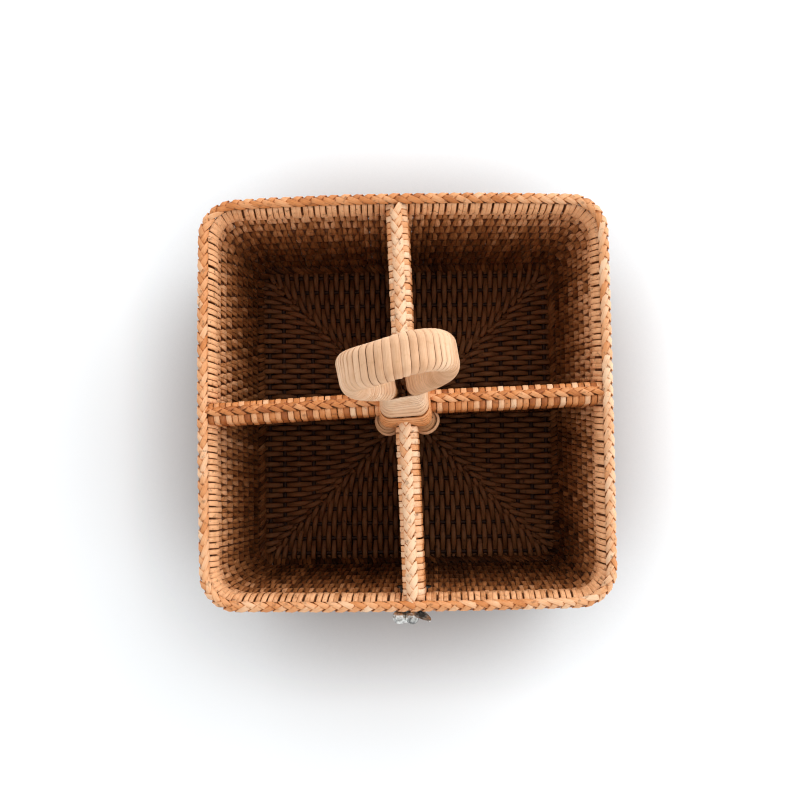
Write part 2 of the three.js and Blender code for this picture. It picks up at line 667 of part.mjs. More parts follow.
// Pins: a flat head inside the wall and a shank through the weave into the sprig
const wallDepth = (wallOuter(sprigHeight) - wallFace(sprigHeight)) * Math.cos(tilt);
const headTop = -wallDepth - CLEARANCE;
for (const [name, x] of [["left", pinPlaces[0]], ["right", pinPlaces[1]]]) {
  const head = post(PIN_HEAD_DIAMETER / 2, headTop - PIN_HEAD_THICKNESS, headTop, x);
  const shank = post(PIN_DIAMETER / 2, headTop - PIN_HEAD_THICKNESS / 2, backLevel + PIN_DEPTH, x);
  addPiece(`sprig_pin_${name}`, fromManifold(head.add(shank)).applyMatrix4(toFront), pewter);
}

export default group;
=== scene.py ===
# %% [markdown]
# # A woven rattan cutlery caddy
#
# The caddy is a square basket with flared walls, a braided rim, a cross divider and a loop handle wrapped
# in cane. Its solids come from the imported model, which stays as the fixed frame. What a weaver makes is
# made here again, strip by strip: every strip of peel is its own small band, so that the gaps, the shadows
# between the strips and the bumps of the weave are real; painted shade on the strips' edges and dives
# deepens them. All bands are worked out with numpy as whole arrays.

import bpy
import numpy as np
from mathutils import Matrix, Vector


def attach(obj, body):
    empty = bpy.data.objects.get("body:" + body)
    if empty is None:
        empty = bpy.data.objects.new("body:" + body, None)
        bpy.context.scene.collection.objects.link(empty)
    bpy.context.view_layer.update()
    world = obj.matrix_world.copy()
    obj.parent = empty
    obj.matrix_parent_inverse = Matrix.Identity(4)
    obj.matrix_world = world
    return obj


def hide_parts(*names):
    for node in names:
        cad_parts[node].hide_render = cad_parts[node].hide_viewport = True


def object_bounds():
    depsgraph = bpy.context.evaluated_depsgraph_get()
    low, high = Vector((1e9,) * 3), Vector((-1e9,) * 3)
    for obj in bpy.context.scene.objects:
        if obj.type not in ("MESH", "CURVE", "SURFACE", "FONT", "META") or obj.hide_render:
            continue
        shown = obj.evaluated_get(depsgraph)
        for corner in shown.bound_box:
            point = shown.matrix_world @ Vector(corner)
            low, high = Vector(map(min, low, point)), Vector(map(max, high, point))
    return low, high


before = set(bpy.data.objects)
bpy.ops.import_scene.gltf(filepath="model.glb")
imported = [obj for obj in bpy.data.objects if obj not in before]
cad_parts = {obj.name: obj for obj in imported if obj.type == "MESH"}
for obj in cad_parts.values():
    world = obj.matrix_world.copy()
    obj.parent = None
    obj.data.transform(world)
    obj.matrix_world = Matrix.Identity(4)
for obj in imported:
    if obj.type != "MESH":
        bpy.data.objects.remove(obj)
cad_low, cad_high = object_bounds()
print("nodes in the frame:", len(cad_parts))
print("box of the solids in metres:", [round(v, 4) for v in (*cad_low, *cad_high)])

# %% [markdown]
# ## Strips: one section carried along many paths
#
# Split rattan is a flat strip with a slightly crowned face. A curve with a bevel could draw one strip, but
# a basket has more than a thousand, so one function carries a section along many paths at the same time. It
# takes the middle line of each strip and the direction that its face looks in, and gives points, four-sided
# faces, a running length for the grain, and a tone that makes each strip its own colour and carries painted
# light and shade.

# %% Carry a section along many paths
MM = 0.001
GRAIN_SHIFT = 400
STRIP_SPOTS = 6
STRIP_EDGES = [0, 3]
UP = np.array([0.0, 0.0, 1.0])
BACK = np.array([0.0, 1.0, 0.0])
chance = np.random.default_rng(20)


def unit(vectors):
    """Each vector divided by its length."""
    return vectors / np.linalg.norm(vectors, axis=-1, keepdims=True)


def side_faces(index, length, closed):
    """Four-sided faces between neighbouring stations and spots, and where their corners lie in the grain."""
    beside = np.roll(index, -1, 2)
    if closed:
        sides = [index, np.roll(index, -1, 1), np.roll(beside, -1, 1), beside]
    else:
        sides = [index[:, :-1], index[:, 1:], beside[:, 1:], beside[:, :-1]]
    quads = np.stack(sides, -1)
    bands, spots = quads.shape[1:3]
    along = np.stack([length[:, :bands], length[:, 1 : bands + 1]], -1)[:, :, None, [0, 1, 1, 0]]
    round_it = (np.arange(spots)[:, None] + np.array([0, 0, 1, 1])) / spots
    grain = np.stack(np.broadcast_arrays(along, round_it), -1)
    return quads.reshape(-1, 4), grain.reshape(-1, 4, 2)


def end_faces(index, length):
    """Faces that close both ends of each path, as a fan from the section's first spot."""
    stations, spots = index.shape[1:]
    fan = np.array([[0, j, j + 1, j + 2] for j in range(1, spots - 2, 2)])
    first_ends = index[:, 0][:, fan].reshape(-1, 4)
    last_ends = index[:, -1][:, fan[:, ::-1]].reshape(-1, 4)
    quads = np.concatenate([first_ends, last_ends])
    end_length = np.repeat(length[:, [0, stations - 1]].T.reshape(-1), len(fan))
    grain = np.broadcast_to(end_length[:, None, None], (len(quads), 4, 2)).copy()
    grain[..., 1] = 0.5
    return quads, grain


def sweep(middle, face, section, tone, closed=False, edge=0.3):
    """Carries a section along paths: point = middle + a * across + b * up.

    middle has the shape (paths, stations, 3). face is the direction that the section's top looks in, one for
    all or one for each station. ahead is the slope of the middle line, across = face x ahead, and
    up = ahead x across. section holds pairs (a, b), clockwise seen from ahead, either one for all or one for
    each station. The two edges of a strip's section get painted shade for the dark gaps between strips: they
    are darker than its face by the amount given as edge."""
    if closed:
        ahead = np.roll(middle, -1, 1) - np.roll(middle, 1, 1)
    else:
        ahead = np.gradient(middle, axis=1)
    ahead = unit(ahead)
    across = unit(np.cross(face, ahead))
    up = np.cross(ahead, across)
    section = np.broadcast_to(section, middle.shape[:2] + np.shape(section)[-2:])
    points = middle[:, :, None] + section[..., :1] * across[:, :, None] + section[..., 1:] * up[:, :, None]
    paths, stations, spots = points.shape[:3]
    index = np.arange(paths * stations * spots).reshape(paths, stations, spots)
    steps = np.linalg.norm(np.diff(middle, axis=1, append=middle[:, :1]), axis=-1)
    length = np.concatenate([np.zeros((paths, 1)), np.cumsum(steps, 1)], 1)
    length = length + chance.uniform(0, GRAIN_SHIFT, (paths, 1))
    quads, grain = side_faces(index, length, closed)
    if not closed:
        end_quads, end_grain = end_faces(index, length)
        quads = np.concatenate([quads, end_quads])
        grain = np.concatenate([grain, end_grain])
    tone = np.asarray(tone, float)
    tone = tone.reshape(tone.shape + (1,) * (3 - tone.ndim))
    # Painted shade along both edges of a six-spot strip
    edge_on = np.isin(np.arange(spots), STRIP_EDGES) if spots == STRIP_SPOTS else np.zeros(spots)
    tone = np.broadcast_to(tone - edge * edge_on, (paths, stations, spots))
    return points.reshape(-1, 3), quads, grain, tone.reshape(-1)


# %% Sections of strips and rods
def strip_section(half_width, thickness, shoulder=0.78):
    """Six points of a crowned strip: two edges, two shoulders on the face and two on the back."""
    a = np.array([-1, -shoulder, shoulder, 1, shoulder, -shoulder])
    b = np.array([0, 0.5, 0.5, 0, -0.5, -0.5])
    width = np.asarray(half_width, float)[..., None] * a
    return np.stack([width, np.broadcast_to(thickness * b, width.shape)], -1)


def round_section(radius, spots):
    """Points of a circle, clockwise from the left."""
    angle = np.pi - 2 * np.pi * np.arange(spots) / spots
    return np.asarray(radius, float)[..., None, None] * np.stack([np.cos(angle), np.sin(angle)], -1)


# %% Put shapes into one mesh
def put(name, shapes, finish, slot, *nodes):
    """Joins shapes into one mesh in metres, with its running length as UV and its tone as an attribute."""
    starts = np.cumsum([0] + [len(s[0]) for s in shapes[:-1]])
    points = np.concatenate([s[0] for s in shapes]) * MM
    quads = np.concatenate([s[1] + start for s, start in zip(shapes, starts)])
    grain = np.concatenate([s[2] for s in shapes])
    tone = np.concatenate([s[3] for s in shapes])
    mesh = bpy.data.meshes.new(name)
    mesh.vertices.add(len(points))
    mesh.vertices.foreach_set("co", points.ravel())
    mesh.loops.add(quads.size)
    mesh.loops.foreach_set("vertex_index", quads.ravel().astype(np.int32))
    mesh.polygons.add(len(quads))
    mesh.polygons.foreach_set("loop_start", np.arange(0, quads.size, 4, dtype=np.int32))
    mesh.uv_layers.new(name="grain").uv.foreach_set("vector", grain.ravel().astype(np.float32))
    mesh.attributes.new("tone", "FLOAT", "POINT").data.foreach_set("value", tone.astype(np.float32))
    mesh.update(calc_edges=True)
    mesh.validate()
    mesh.shade_smooth()
    mesh.materials.append(finish)
    piece = bpy.data.objects.new(name, mesh)
    bpy.context.scene.collection.objects.link(piece)
    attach(piece, "root")
    if nodes:
        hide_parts(*nodes)
    print(name, "has", 2 * len(quads), "triangles")


# %% [markdown]
# ## Camera, light and paper
#
# The picture looks almost straight down from about 64 cm, with a slightly long lens. The numbers come from
# fitting the rim, the floor's edges and the ends of the dividers to the picture. The light is that of a
# white tent: bright walls, brightest at the back right, a darker top where the camera looks in, and a large
# soft lamp. Little light comes from straight above, so the inside of the basket gets dark towards its
# floor. The paper under the basket could be shaded by lamp and tent alone, but its shade is deepest right
# beside the walls, so ambient occlusion darkens it there.

# %% Camera
CAMERA_PLACE = (0.0063, -0.0362, 0.640)
CAMERA_TURN = (3.86, 0.95, -0.77)
CAMERA_LENS = 56.6
CAMERA_SENSOR = 36
PIXEL_FILTER = 1.1
scene = bpy.context.scene
camera_data = bpy.data.cameras.new("camera")
camera_data.lens = CAMERA_LENS
camera_data.sensor_width = CAMERA_SENSOR
camera = bpy.data.objects.new("camera", camera_data)
camera.location = CAMERA_PLACE
camera.rotation_euler = np.radians(CAMERA_TURN)
scene.collection.objects.link(camera)
scene.camera = camera
scene.view_settings.view_transform = "Standard"
scene.cycles.filter_width = PIXEL_FILTER
print("camera at", CAMERA_PLACE, "with a lens of", CAMERA_LENS, "mm")

# %% Soft lamp that looks at the middle of the basket
LAMP_PLACE = (0.74, 0.70, 1.02)
LAMP_SIZE = 1.1
LAMP_POWER = 5
lamp_data = bpy.data.lights.new("key", "AREA")
lamp_data.size = LAMP_SIZE
lamp_data.energy = LAMP_POWER
lamp = bpy.data.objects.new("key", lamp_data)
lamp.location = LAMP_PLACE
away = lamp.location - cad_low.lerp(cad_high, 0.5)
lamp.rotation_euler = away.to_track_quat("Z", "Y").to_euler()
scene.collection.objects.link(lamp)
print("lamp of", LAMP_POWER, "watts at", LAMP_PLACE)


# %% Nodes that work out a value
def maths(tree, operation, *values):
    """Output of a new math node; a value is set on its input, or linked if it is another node's output."""
    node = tree.nodes.new("ShaderNodeMath")
    node.operation = operation
    for socket, value in zip(node.inputs, values):
        if isinstance(value, bpy.types.NodeSocket):
            tree.links.new(value, socket)
        else:
            socket.default_value = value
    return node.outputs[0]


def looked_at(tree):
    """1 for rays that carry a picture, straight or by a mirror or a glass, and 0 for light that bounces."""
    rays = tree.nodes.new("ShaderNodeLightPath")
    mirrored = maths(tree, "MAXIMUM", rays.outputs["Is Glossy Ray"], rays.outputs["Is Transmission Ray"])
    return maths(tree, "MAXIMUM", rays.outputs["Is Camera Ray"], mirrored)


# %% Tent: brightness by height and side, and plain white where it is looked at
TENT_TOP = 0.40
TENT_WALL = 1.78
TENT_BEND = (0.45, 0.9)
TENT_SIDE = 0.4
BRIGHT_WAY = (0.72, 0.69, 0)
world = bpy.data.worlds.new("tent")
world.use_nodes = True
scene.world = world
tent = world.node_tree
towards = tent.nodes.new("ShaderNodeTexCoord").outputs["Generated"]
split = tent.nodes.new("ShaderNodeSeparateXYZ")
tent.links.new(towards, split.inputs[0])
height = tent.nodes.new("ShaderNodeMapRange")
height.interpolation_type = "SMOOTHSTEP"
height.inputs["From Min"].default_value = TENT_BEND[0]
height.inputs["From Max"].default_value = TENT_BEND[1]
height.inputs["To Min"].default_value = TENT_WALL
height.inputs["To Max"].default_value = TENT_TOP
tent.links.new(split.outputs["Z"], height.inputs["Value"])
sideways = tent.nodes.new("ShaderNodeVectorMath")
sideways.operation = "DOT_PRODUCT"
sideways.inputs[1].default_value = [TENT_SIDE * way for way in BRIGHT_WAY]
tent.links.new(towards, sideways.inputs[0])
brighter = maths(tent, "ADD", sideways.outputs["Value"], 1.0)
# Inputs 2 and 3 of a Mix node are its two values
strength = tent.nodes.new("ShaderNodeMix")
tent.links.new(looked_at(tent), strength.inputs[0])
tent.links.new(maths(tent, "MULTIPLY", height.outputs[0], brighter), strength.inputs[2])
strength.inputs[3].default_value = 1.0
tent.links.new(strength.outputs[0], tent.nodes["Background"].inputs["Strength"])
tent.nodes["Background"].inputs["Color"].default_value = (1, 1, 1, 1)
print("tent from", TENT_TOP, "at the top to", TENT_WALL, "at the walls")

# %% Paper under the basket
PAPER_HALF = 1.6
PAPER = (1.05, 1.09, 1.115)
PAPER_BOUNCE = (0.85, 0.85, 0.85, 1)
SHADE_REACH = 0.07
SHADE_POWER = 1.5
SHADE_SAMPLES = 24
paper = bpy.data.materials.new("white_paper")
paper.use_nodes = True
sheet = paper.node_tree
hidden = sheet.nodes.new("ShaderNodeAmbientOcclusion")
hidden.samples = SHADE_SAMPLES
hidden.inputs["Distance"].default_value = SHADE_REACH
tinted = sheet.nodes.new("ShaderNodeVectorMath")
tinted.operation = "SCALE"
tinted.inputs[0].default_value = PAPER
sheet.links.new(maths(sheet, "POWER", hidden.outputs["AO"], SHADE_POWER), tinted.inputs["Scale"])
# Inputs 6 and 7 of a Mix node are its two colours
whiteness = sheet.nodes.new("ShaderNodeMix")
whiteness.data_type = "RGBA"
sheet.links.new(looked_at(sheet), whiteness.inputs[0])
whiteness.inputs[6].default_value = PAPER_BOUNCE
sheet.links.new(tinted.outputs[0], whiteness.inputs[7])
paper_surface = sheet.nodes["Principled BSDF"]
sheet.links.new(whiteness.outputs[2], paper_surface.inputs["Base Color"])
paper_surface.inputs["Roughness"].default_value = 1.0
paper_surface.inputs["Specular IOR Level"].default_value = 0.0
ground_mesh = bpy.data.meshes.new("ground")
corners = PAPER_HALF * np.array([[-1, -1, 0], [1, -1, 0], [1, 1, 0], [-1, 1, 0]], float)
ground_mesh.from_pydata(corners.tolist(), [], [(0, 1, 2, 3)])
ground_mesh.materials.append(paper)
# This is the floor of the picture, not that of the basket
floor = bpy.data.objects.new("ground", ground_mesh)
scene.collection.objects.link(floor)
print("paper", 2 * PAPER_HALF, "m across")

# %% [markdown]
# ## Finishes
#
# Rattan peel has fine fibres along the strip, a soft sheen on its skin, and a colour that changes from
# strip to strip, from straw to orange brown. The tone attribute moves each strip along a colour ramp and
# also carries painted light and shade, stretched noise on the running length draws the fibres, and two
# noises in space add patches and stains. An
# image could hold all this, but noise that follows each strip stays sharp at any distance.

# %% Parts of a finish
def noise(tree, vector, scale, detail, roughness=0.5):
    """Output of a new noise texture."""
    node = tree.nodes.new("ShaderNodeTexNoise")
    node.inputs["Scale"].default_value = scale
    node.inputs["Detail"].default_value = detail
    node.inputs["Roughness"].default_value = roughness
    tree.links.new(vector, node.inputs["Vector"])
    return node.outputs["Fac"]


def ramp_colour(tree, value, ramp):
    """Colour of a value on a ramp, which is a list of (place, colour)."""
    node = tree.nodes.new("ShaderNodeValToRGB")
    while len(node.color_ramp.elements) < len(ramp):
        node.color_ramp.elements.new(0.5)
    for element, (spot, colour) in zip(node.color_ramp.elements, ramp):
        element.position = spot
        element.color = (*colour, 1)
    tree.links.new(value, node.inputs["Fac"])
    return node.outputs["Color"]


def sheen_and_relief(tree, pattern, gloss, strength, depth):
    """Roughness from gloss[0] to gloss[1] and a bump of a depth in metres, both led by one pattern."""
    surface = tree.nodes["Principled BSDF"]
    rough = tree.nodes.new("ShaderNodeMapRange")
    rough.inputs["To Min"].default_value = gloss[0]
    rough.inputs["To Max"].default_value = gloss[1]
    tree.links.new(pattern, rough.inputs["Value"])
    tree.links.new(rough.outputs[0], surface.inputs["Roughness"])
    bump = tree.nodes.new("ShaderNodeBump")
    bump.inputs["Strength"].default_value = strength
    bump.inputs["Distance"].default_value = depth
    tree.links.new(pattern, bump.inputs["Height"])
    tree.links.new(bump.outputs[0], surface.inputs["Normal"])


# %% Rattan finish
FIBRE_STRETCH = (0.16, 34, 1)
FIBRE_DETAIL = 5
FIBRE_ROUGHNESS = 0.62
FIBRE_CONTRAST = 0.55
FIBRE_STRENGTH = 0.7
PATCH_SCALE = 150
PATCH_DETAIL = 3
PATCH_CONTRAST = 0.5
SPOT_SCALE = 420
SPOT_DETAIL = 2
SPOT_RANGE = (0.60, 0.78)
STAIN_SHARE = 0.7
PEEL_SHEEN = 0.3


def rattan_finish(name, ramp, stain, fibre_depth, gloss):
    """Principled surface: colour = ramp(tone + fibres + patches), darkened by stains.

    The fibres also drive the bump. ramp is a list of (place, colour), stain is the colour of old spots, and
    fibre_depth is in metres."""
    material = bpy.data.materials.new(name)
    material.use_nodes = True
    tree = material.node_tree
    surface = tree.nodes["Principled BSDF"]
    surface.inputs["Specular IOR Level"].default_value = PEEL_SHEEN

    grain = tree.nodes.new("ShaderNodeUVMap")
    grain.uv_map = "grain"
    stretch = tree.nodes.new("ShaderNodeMapping")
    stretch.inputs["Scale"].default_value = FIBRE_STRETCH
    tree.links.new(grain.outputs[0], stretch.inputs["Vector"])
    fibres = noise(tree, stretch.outputs[0], 1, FIBRE_DETAIL, FIBRE_ROUGHNESS)
    sheen_and_relief(tree, fibres, gloss, FIBRE_STRENGTH, fibre_depth)

    place = tree.nodes.new("ShaderNodeTexCoord").outputs["Object"]
    patches = noise(tree, place, PATCH_SCALE, PATCH_DETAIL)
    tone = tree.nodes.new("ShaderNodeAttribute")
    tone.attribute_name = "tone"
    fibre_part = maths(tree, "MULTIPLY_ADD", fibres, FIBRE_CONTRAST, -0.5 * FIBRE_CONTRAST)
    patch_part = maths(tree, "MULTIPLY_ADD", patches, PATCH_CONTRAST, -0.5 * PATCH_CONTRAST)
    whole = maths(tree, "ADD", tone.outputs["Fac"], maths(tree, "ADD", fibre_part, patch_part))

    stains = tree.nodes.new("ShaderNodeMapRange")
    stains.inputs["From Min"].default_value = SPOT_RANGE[0]
    stains.inputs["From Max"].default_value = SPOT_RANGE[1]
    stains.inputs["To Max"].default_value = STAIN_SHARE
    tree.links.new(noise(tree, place, SPOT_SCALE, SPOT_DETAIL), stains.inputs["Value"])
    blend = tree.nodes.new("ShaderNodeMix")
    blend.data_type = "RGBA"
    tree.links.new(stains.outputs[0], blend.inputs[0])
    tree.links.new(ramp_colour(tree, whole, ramp), blend.inputs[6])
    blend.inputs[7].default_value = (*stain, 1)
    tree.links.new(blend.outputs[2], surface.inputs["Base Color"])
    print("finish", name, "with", len(tree.nodes), "nodes")
    return material


# %% Five kinds of rattan
STAIN = (0.09, 0.028, 0.009)
peel_finish = rattan_finish(
    "rattan_peel",
    ramp=[
        (0.0, (0.018, 0.005, 0.0015)),
        (0.25, (0.085, 0.026, 0.007)),
        (0.5, (0.28, 0.098, 0.028)),
        (0.75, (0.55, 0.225, 0.078)),
        (1.0, (0.96, 0.52, 0.265)),
    ],
    stain=STAIN,
    fibre_depth=0.00025,
    gloss=(0.34, 0.60),
)
# Painted shade: the floor strips and rods get a darker copy of the peel for the dark deep in the basket
shaded_floor_finish = rattan_finish(
    "floor_peel_painted_shade",
    ramp=[
        (0.0, (0.04, 0.011, 0.003)),
        (0.45, (0.17, 0.056, 0.016)),
        (1.0, (0.34, 0.135, 0.046)),
    ],
    stain=(0.02, 0.006, 0.002),
    fibre_depth=0.00025,
    gloss=(0.40, 0.65),
)
braid_finish = rattan_finish(
    "braid_strips",
    ramp=[
        (0.0, (0.32, 0.085, 0.018)),
        (0.35, (0.64, 0.235, 0.07)),
        (0.65, (0.79, 0.385, 0.175)),
        (1.0, (0.90, 0.61, 0.39)),
    ],
    stain=STAIN,
    fibre_depth=0.00022,
    gloss=(0.34, 0.58),
)
cane_finish = rattan_finish(
    "pale_cane",
    ramp=[
        (0.0, (0.40, 0.18, 0.07)),
        (0.35, (0.62, 0.345, 0.185)),
        (0.7, (0.77, 0.485, 0.295)),
        (1.0, (0.87, 0.64, 0.45)),
    ],
    stain=(0.58, 0.33, 0.17),
    fibre_depth=0.0002,
    gloss=(0.36, 0.60),
)
rod_finish = rattan_finish(
    "rattan_rod",
    ramp=[
        (0.0, (0.16, 0.055, 0.018)),
        (0.5, (0.42, 0.19, 0.068)),
        (1.0, (0.62, 0.34, 0.15)),
    ],
    stain=STAIN,
    fibre_depth=0.0002,
    gloss=(0.38, 0.6),
)

# %% [markdown]
# ## Square rings with rounded corners
#
# The walls, the rim, the floor's courses and the collar of the handle all run round a square with rounded
# corners. Each could be a curve drawn by hand, but strips have to stand on it at even distances, so one
# function gives a point for any share of the way round. Complex numbers keep it short: turning by a quarter
# is one product.

# %% A ring round the basket
SIDE_BOW = np.array([0.7, 0.3, 1.5, 0.6])
ROUNDING = 1e-9


def ring(share, half, radius, bowed=0.0):
    """Point and outward direction on a rounded square, as complex numbers x + iy.

    The share of the way round starts at the left end of the front and runs counter-clockwise from above.
    On a straight side the point moves along it; on a bend it turns by up to a quarter about its middle.
    A bowed ring stands out in the middle of each side by the side's own bow, (1 - s^2) of it at a share s."""
    quarter = np.floor(share * 4 + ROUNDING)
    straight = 2 * (half - radius)
    bend = 0.5 * np.pi * radius
    way = (share * 4 - quarter) * (straight + bend)
    turn = np.clip((way - straight) / bend, 0, 1) * np.pi / 2
    x = radius - half + np.minimum(way, straight) + radius * np.sin(turn)
    y = -half + radius * (1 - np.cos(turn))
    spin = np.exp(0.5j * np.pi * quarter)
    along_side = np.clip(2 * way / straight - 1, -1, 1)
    bow = bowed * SIDE_BOW[quarter.astype(int) % 4] * (1 - along_side**2)
    outward = -1j * np.exp(1j * turn) * spin
    return (x + 1j * y) * spin + bow * outward, outward


def raised(flat, z):
    """Complex x + iy and a height as points in space."""
    return np.stack(np.broadcast_arrays(flat.real, flat.imag, z), -1)


# %% [markdown]
# ## Woven walls
#
# The walls are a plain weave that shows only its upright strips: pairs of peel strips pass in front of one
# round hoop and behind the next, so the surface looks like bricks, with each row moved by half a brick. A
# bump map would look flat at the rim, where the strips bulge most. So each strip is a wave: out by the
# hoop's radius on one course, in on the next, wide in the middle of its float and squeezed where it dives
# between its neighbours.

# %% Sizes of the weave, in millimetres
RIM_MIDDLE = 87.3
WALL_TOP = 95.5
WALL_FOOT = 6.8
WALL_COURSES = 9
TOP_COURSE = 1.45
WALL_SLOPE = 0.1197
WALL_CORNER = 14.5
FOOT_CORNER = 11.0
BASE_BEND = 5.0
STEPS_PER_COURSE = 6
STRIP_WIDTH = 2.38
STRIP_THICKNESS = 0.8
WAVE = 1.75
WAVE_POWER = 0.5
DIVE_WIDTH = 0.42
DIVE_POWER = 0.45


def wave(phase):
    """Where a strip lies in the weave: +1 over a hoop, -1 behind it, with flat tops and quick dives."""
    c = np.cos(np.pi * phase)
    return np.sign(c) * np.abs(c) ** WAVE_POWER


def squeeze(phase):
    """Share of its width that a strip keeps: whole in the middle of a float, under half at a dive."""
    return DIVE_WIDTH + (1 - DIVE_WIDTH) * np.abs(np.cos(np.pi * phase)) ** DIVE_POWER


# %% Courses of the wall and their bend under the base
course = np.linspace(0, WALL_COURSES + 1, (WALL_COURSES + 1) * STEPS_PER_COURSE + 1)
wall_pitch = (WALL_TOP - WALL_FOOT) / (WALL_COURSES - 1 + TOP_COURSE)


def wall_drop(course):
    """How far below the top of the wall a course lies; the first course is taller than the rest."""
    return wall_pitch * (course + (TOP_COURSE - 1) * np.minimum(course, 1))


bend_angle = np.clip(course - WALL_COURSES, 0, 1) * np.pi / 2
wall_z = WALL_TOP - wall_drop(np.minimum(course, WALL_COURSES)) - BASE_BEND * np.sin(bend_angle)
wall_half = RIM_MIDDLE - WALL_SLOPE * wall_drop(np.minimum(course, WALL_COURSES))
wall_half = wall_half - BASE_BEND * (1 - np.cos(bend_angle))
wall_depth = np.minimum(course, WALL_COURSES) / WALL_COURSES
wall_corner = WALL_CORNER + (FOOT_CORNER - WALL_CORNER) * wall_depth - BASE_BEND * (1 - np.cos(bend_angle))
rim_length = 8 * (RIM_MIDDLE - WALL_CORNER) + 2 * np.pi * WALL_CORNER
print("rim is", round(rim_length), "mm round, a course is", round(wall_pitch, 2), "mm high")

# %% Wall strips
STAKES = 256
TOP_HOLD = 0.4
TOP_BULGE = 2.2
BULGE_POWER = 0.8
LEAN = 0.11
LEAN_SPREAD = 0.14
WIDTH_SPREAD = (0.94, 1.05)
WAVE_SPREAD = (0.94, 1.06)
OUTER_TONE = 0.68
# Painted light and shade on the inner strips, from under the rim down to the foot of the wall
PAINTED_SHADE_DEPTHS = [0, 0.1, 0.22, 0.45, 0.75, 1]
PAINTED_SHADE_TONES = [1.08, 1.04, 0.86, 0.64, 0.46, 0.39]
SIDE_PLACES = [0, 0.125, 0.375, 0.625, 0.875, 1]
# Painted light by side, inside only: the front darkest, the right and left lightest
PAINTED_SIDE_LIGHT = [-0.02, -0.22, 0.17, -0.03, 0.15, -0.02]
FLOAT_LIGHT_DIVE_SHADE = 0.2
FLOAT_MEAN = 0.85
TONE_SPREAD = 0.1
TONE_RANGE = (0.02, 0.98)


def painted_depth_shading(drop):
    """Painted light and shade inside the basket: palest under the rim, darker with every course further down.
    """
    return np.interp(drop / (WALL_TOP - WALL_FOOT), PAINTED_SHADE_DEPTHS, PAINTED_SHADE_TONES)


def wall_strips(quarter):
    """Two strips for each stake of one side.

    Each stands on the ring, moved along it by half a strip and by its lean, and in or out by the wave. The
    lean is full in the middle of the left and right sides and half of that at the front and the back."""
    stake = np.repeat(np.arange(STAKES // 4) + quarter * STAKES // 4, 2)[:, None]
    twin = np.tile([-0.5, 0.5], STAKES // 4)[:, None]
    phase = np.maximum(course, TOP_HOLD)[None] - 0.5 + stake
    width = squeeze(phase) * chance.uniform(*WIDTH_SPREAD, stake.shape)
    home = (stake + 0.5) / STAKES
    lean_share = 0.75 - 0.25 * np.cos(4 * np.pi * (home - SIDE_PLACES[1]))
    lean = LEAN * lean_share * (WALL_TOP - wall_z) + chance.normal(0, LEAN_SPREAD, stake.shape)
    share = home + (twin * STRIP_WIDTH * width + lean) / rim_length
    flat, outward = ring(share % 1, wall_half, wall_corner, 1 - wall_depth)
    lift = WAVE * wave(phase) * chance.uniform(*WAVE_SPREAD, stake.shape)
    bulge = TOP_BULGE * np.sin(np.pi * np.minimum(course, 1)) ** BULGE_POWER
    lift = lift - bulge * np.clip(-wave(phase), 0, 1)
    tilt = bend_angle + 0 * share
    face = raised(outward * np.cos(tilt), -np.sin(tilt))
    middle = raised(flat, wall_z + 0 * share) + lift[..., None] * face
    section = strip_section(0.5 * STRIP_WIDTH * width, STRIP_THICKNESS)
    # 1 where a strip shows inside the basket, 0 where it shows outside
    inner = np.clip(0.5 - 2 * wave(phase), 0, 1)
    # Inside the basket the strips get painted light and shade, by depth and by side
    painted_side_light = np.interp(home, SIDE_PLACES, PAINTED_SIDE_LIGHT)
    tone = OUTER_TONE + (painted_depth_shading(WALL_TOP - wall_z) + painted_side_light - OUTER_TONE) * inner
    tone = tone + chance.normal(0, TONE_SPREAD, stake.shape)
    # Painted shade where a strip dives between its neighbours, painted light on its floats
    tone = tone + FLOAT_LIGHT_DIVE_SHADE * (np.abs(wave(phase)) - FLOAT_MEAN)
    return sweep(middle, face, section, np.clip(tone, *TONE_RANGE))


for quarter, name in enumerate(["front", "right", "back", "left"]):
    replaced = ["wall_weave"] if quarter == 0 else []
    put("wall_" + name, [wall_strips(quarter)], peel_finish, "peel", *replaced)

# %% Hoops inside the wall
RING_STEPS = 160
HOOP_RADIUS = 1.35
TOP_HOOP_RADIUS = 2.3
HOOP_SPOTS = 8
# Painted shade: the hoops are almost black, as they show only in the dark gaps of the weave
HOOP_SHADE_TONE = 0.05


def hoops():
    """Round weavers inside the wall, one for each course; the top one is thicker and stands further in."""
    share = (np.arange(RING_STEPS) / RING_STEPS)[None]
    level = wall_drop(np.arange(WALL_COURSES) + 0.5)[:, None]
    radius = np.where(level < wall_pitch, TOP_HOOP_RADIUS, HOOP_RADIUS)
    depth = level / (WALL_TOP - WALL_FOOT)
    half = RIM_MIDDLE - WALL_SLOPE * level - radius + HOOP_RADIUS
    flat, _ = ring(share, half, WALL_CORNER + (FOOT_CORNER - WALL_CORNER) * depth, 1 - depth)
    section = round_section(radius, HOOP_SPOTS)
    return sweep(raised(flat, WALL_TOP - level), UP, section, np.full(WALL_COURSES, HOOP_SHADE_TONE), closed=True)


put("wall_hoops", [hoops()], rod_finish, "peel")

# %% [markdown]
# ## Woven floor
#
# The floor is worked from square rods, one inside the next, with strips that start on the diagonals and run
# out to the four sides. Near a diagonal the strips bend in towards it like the barbs of a feather. Each
# strip goes over one rod and under the next. A flat grid with a bump would show no dark gaps at the dives,
# so the strips are waves here too, crowned and close beside each other.

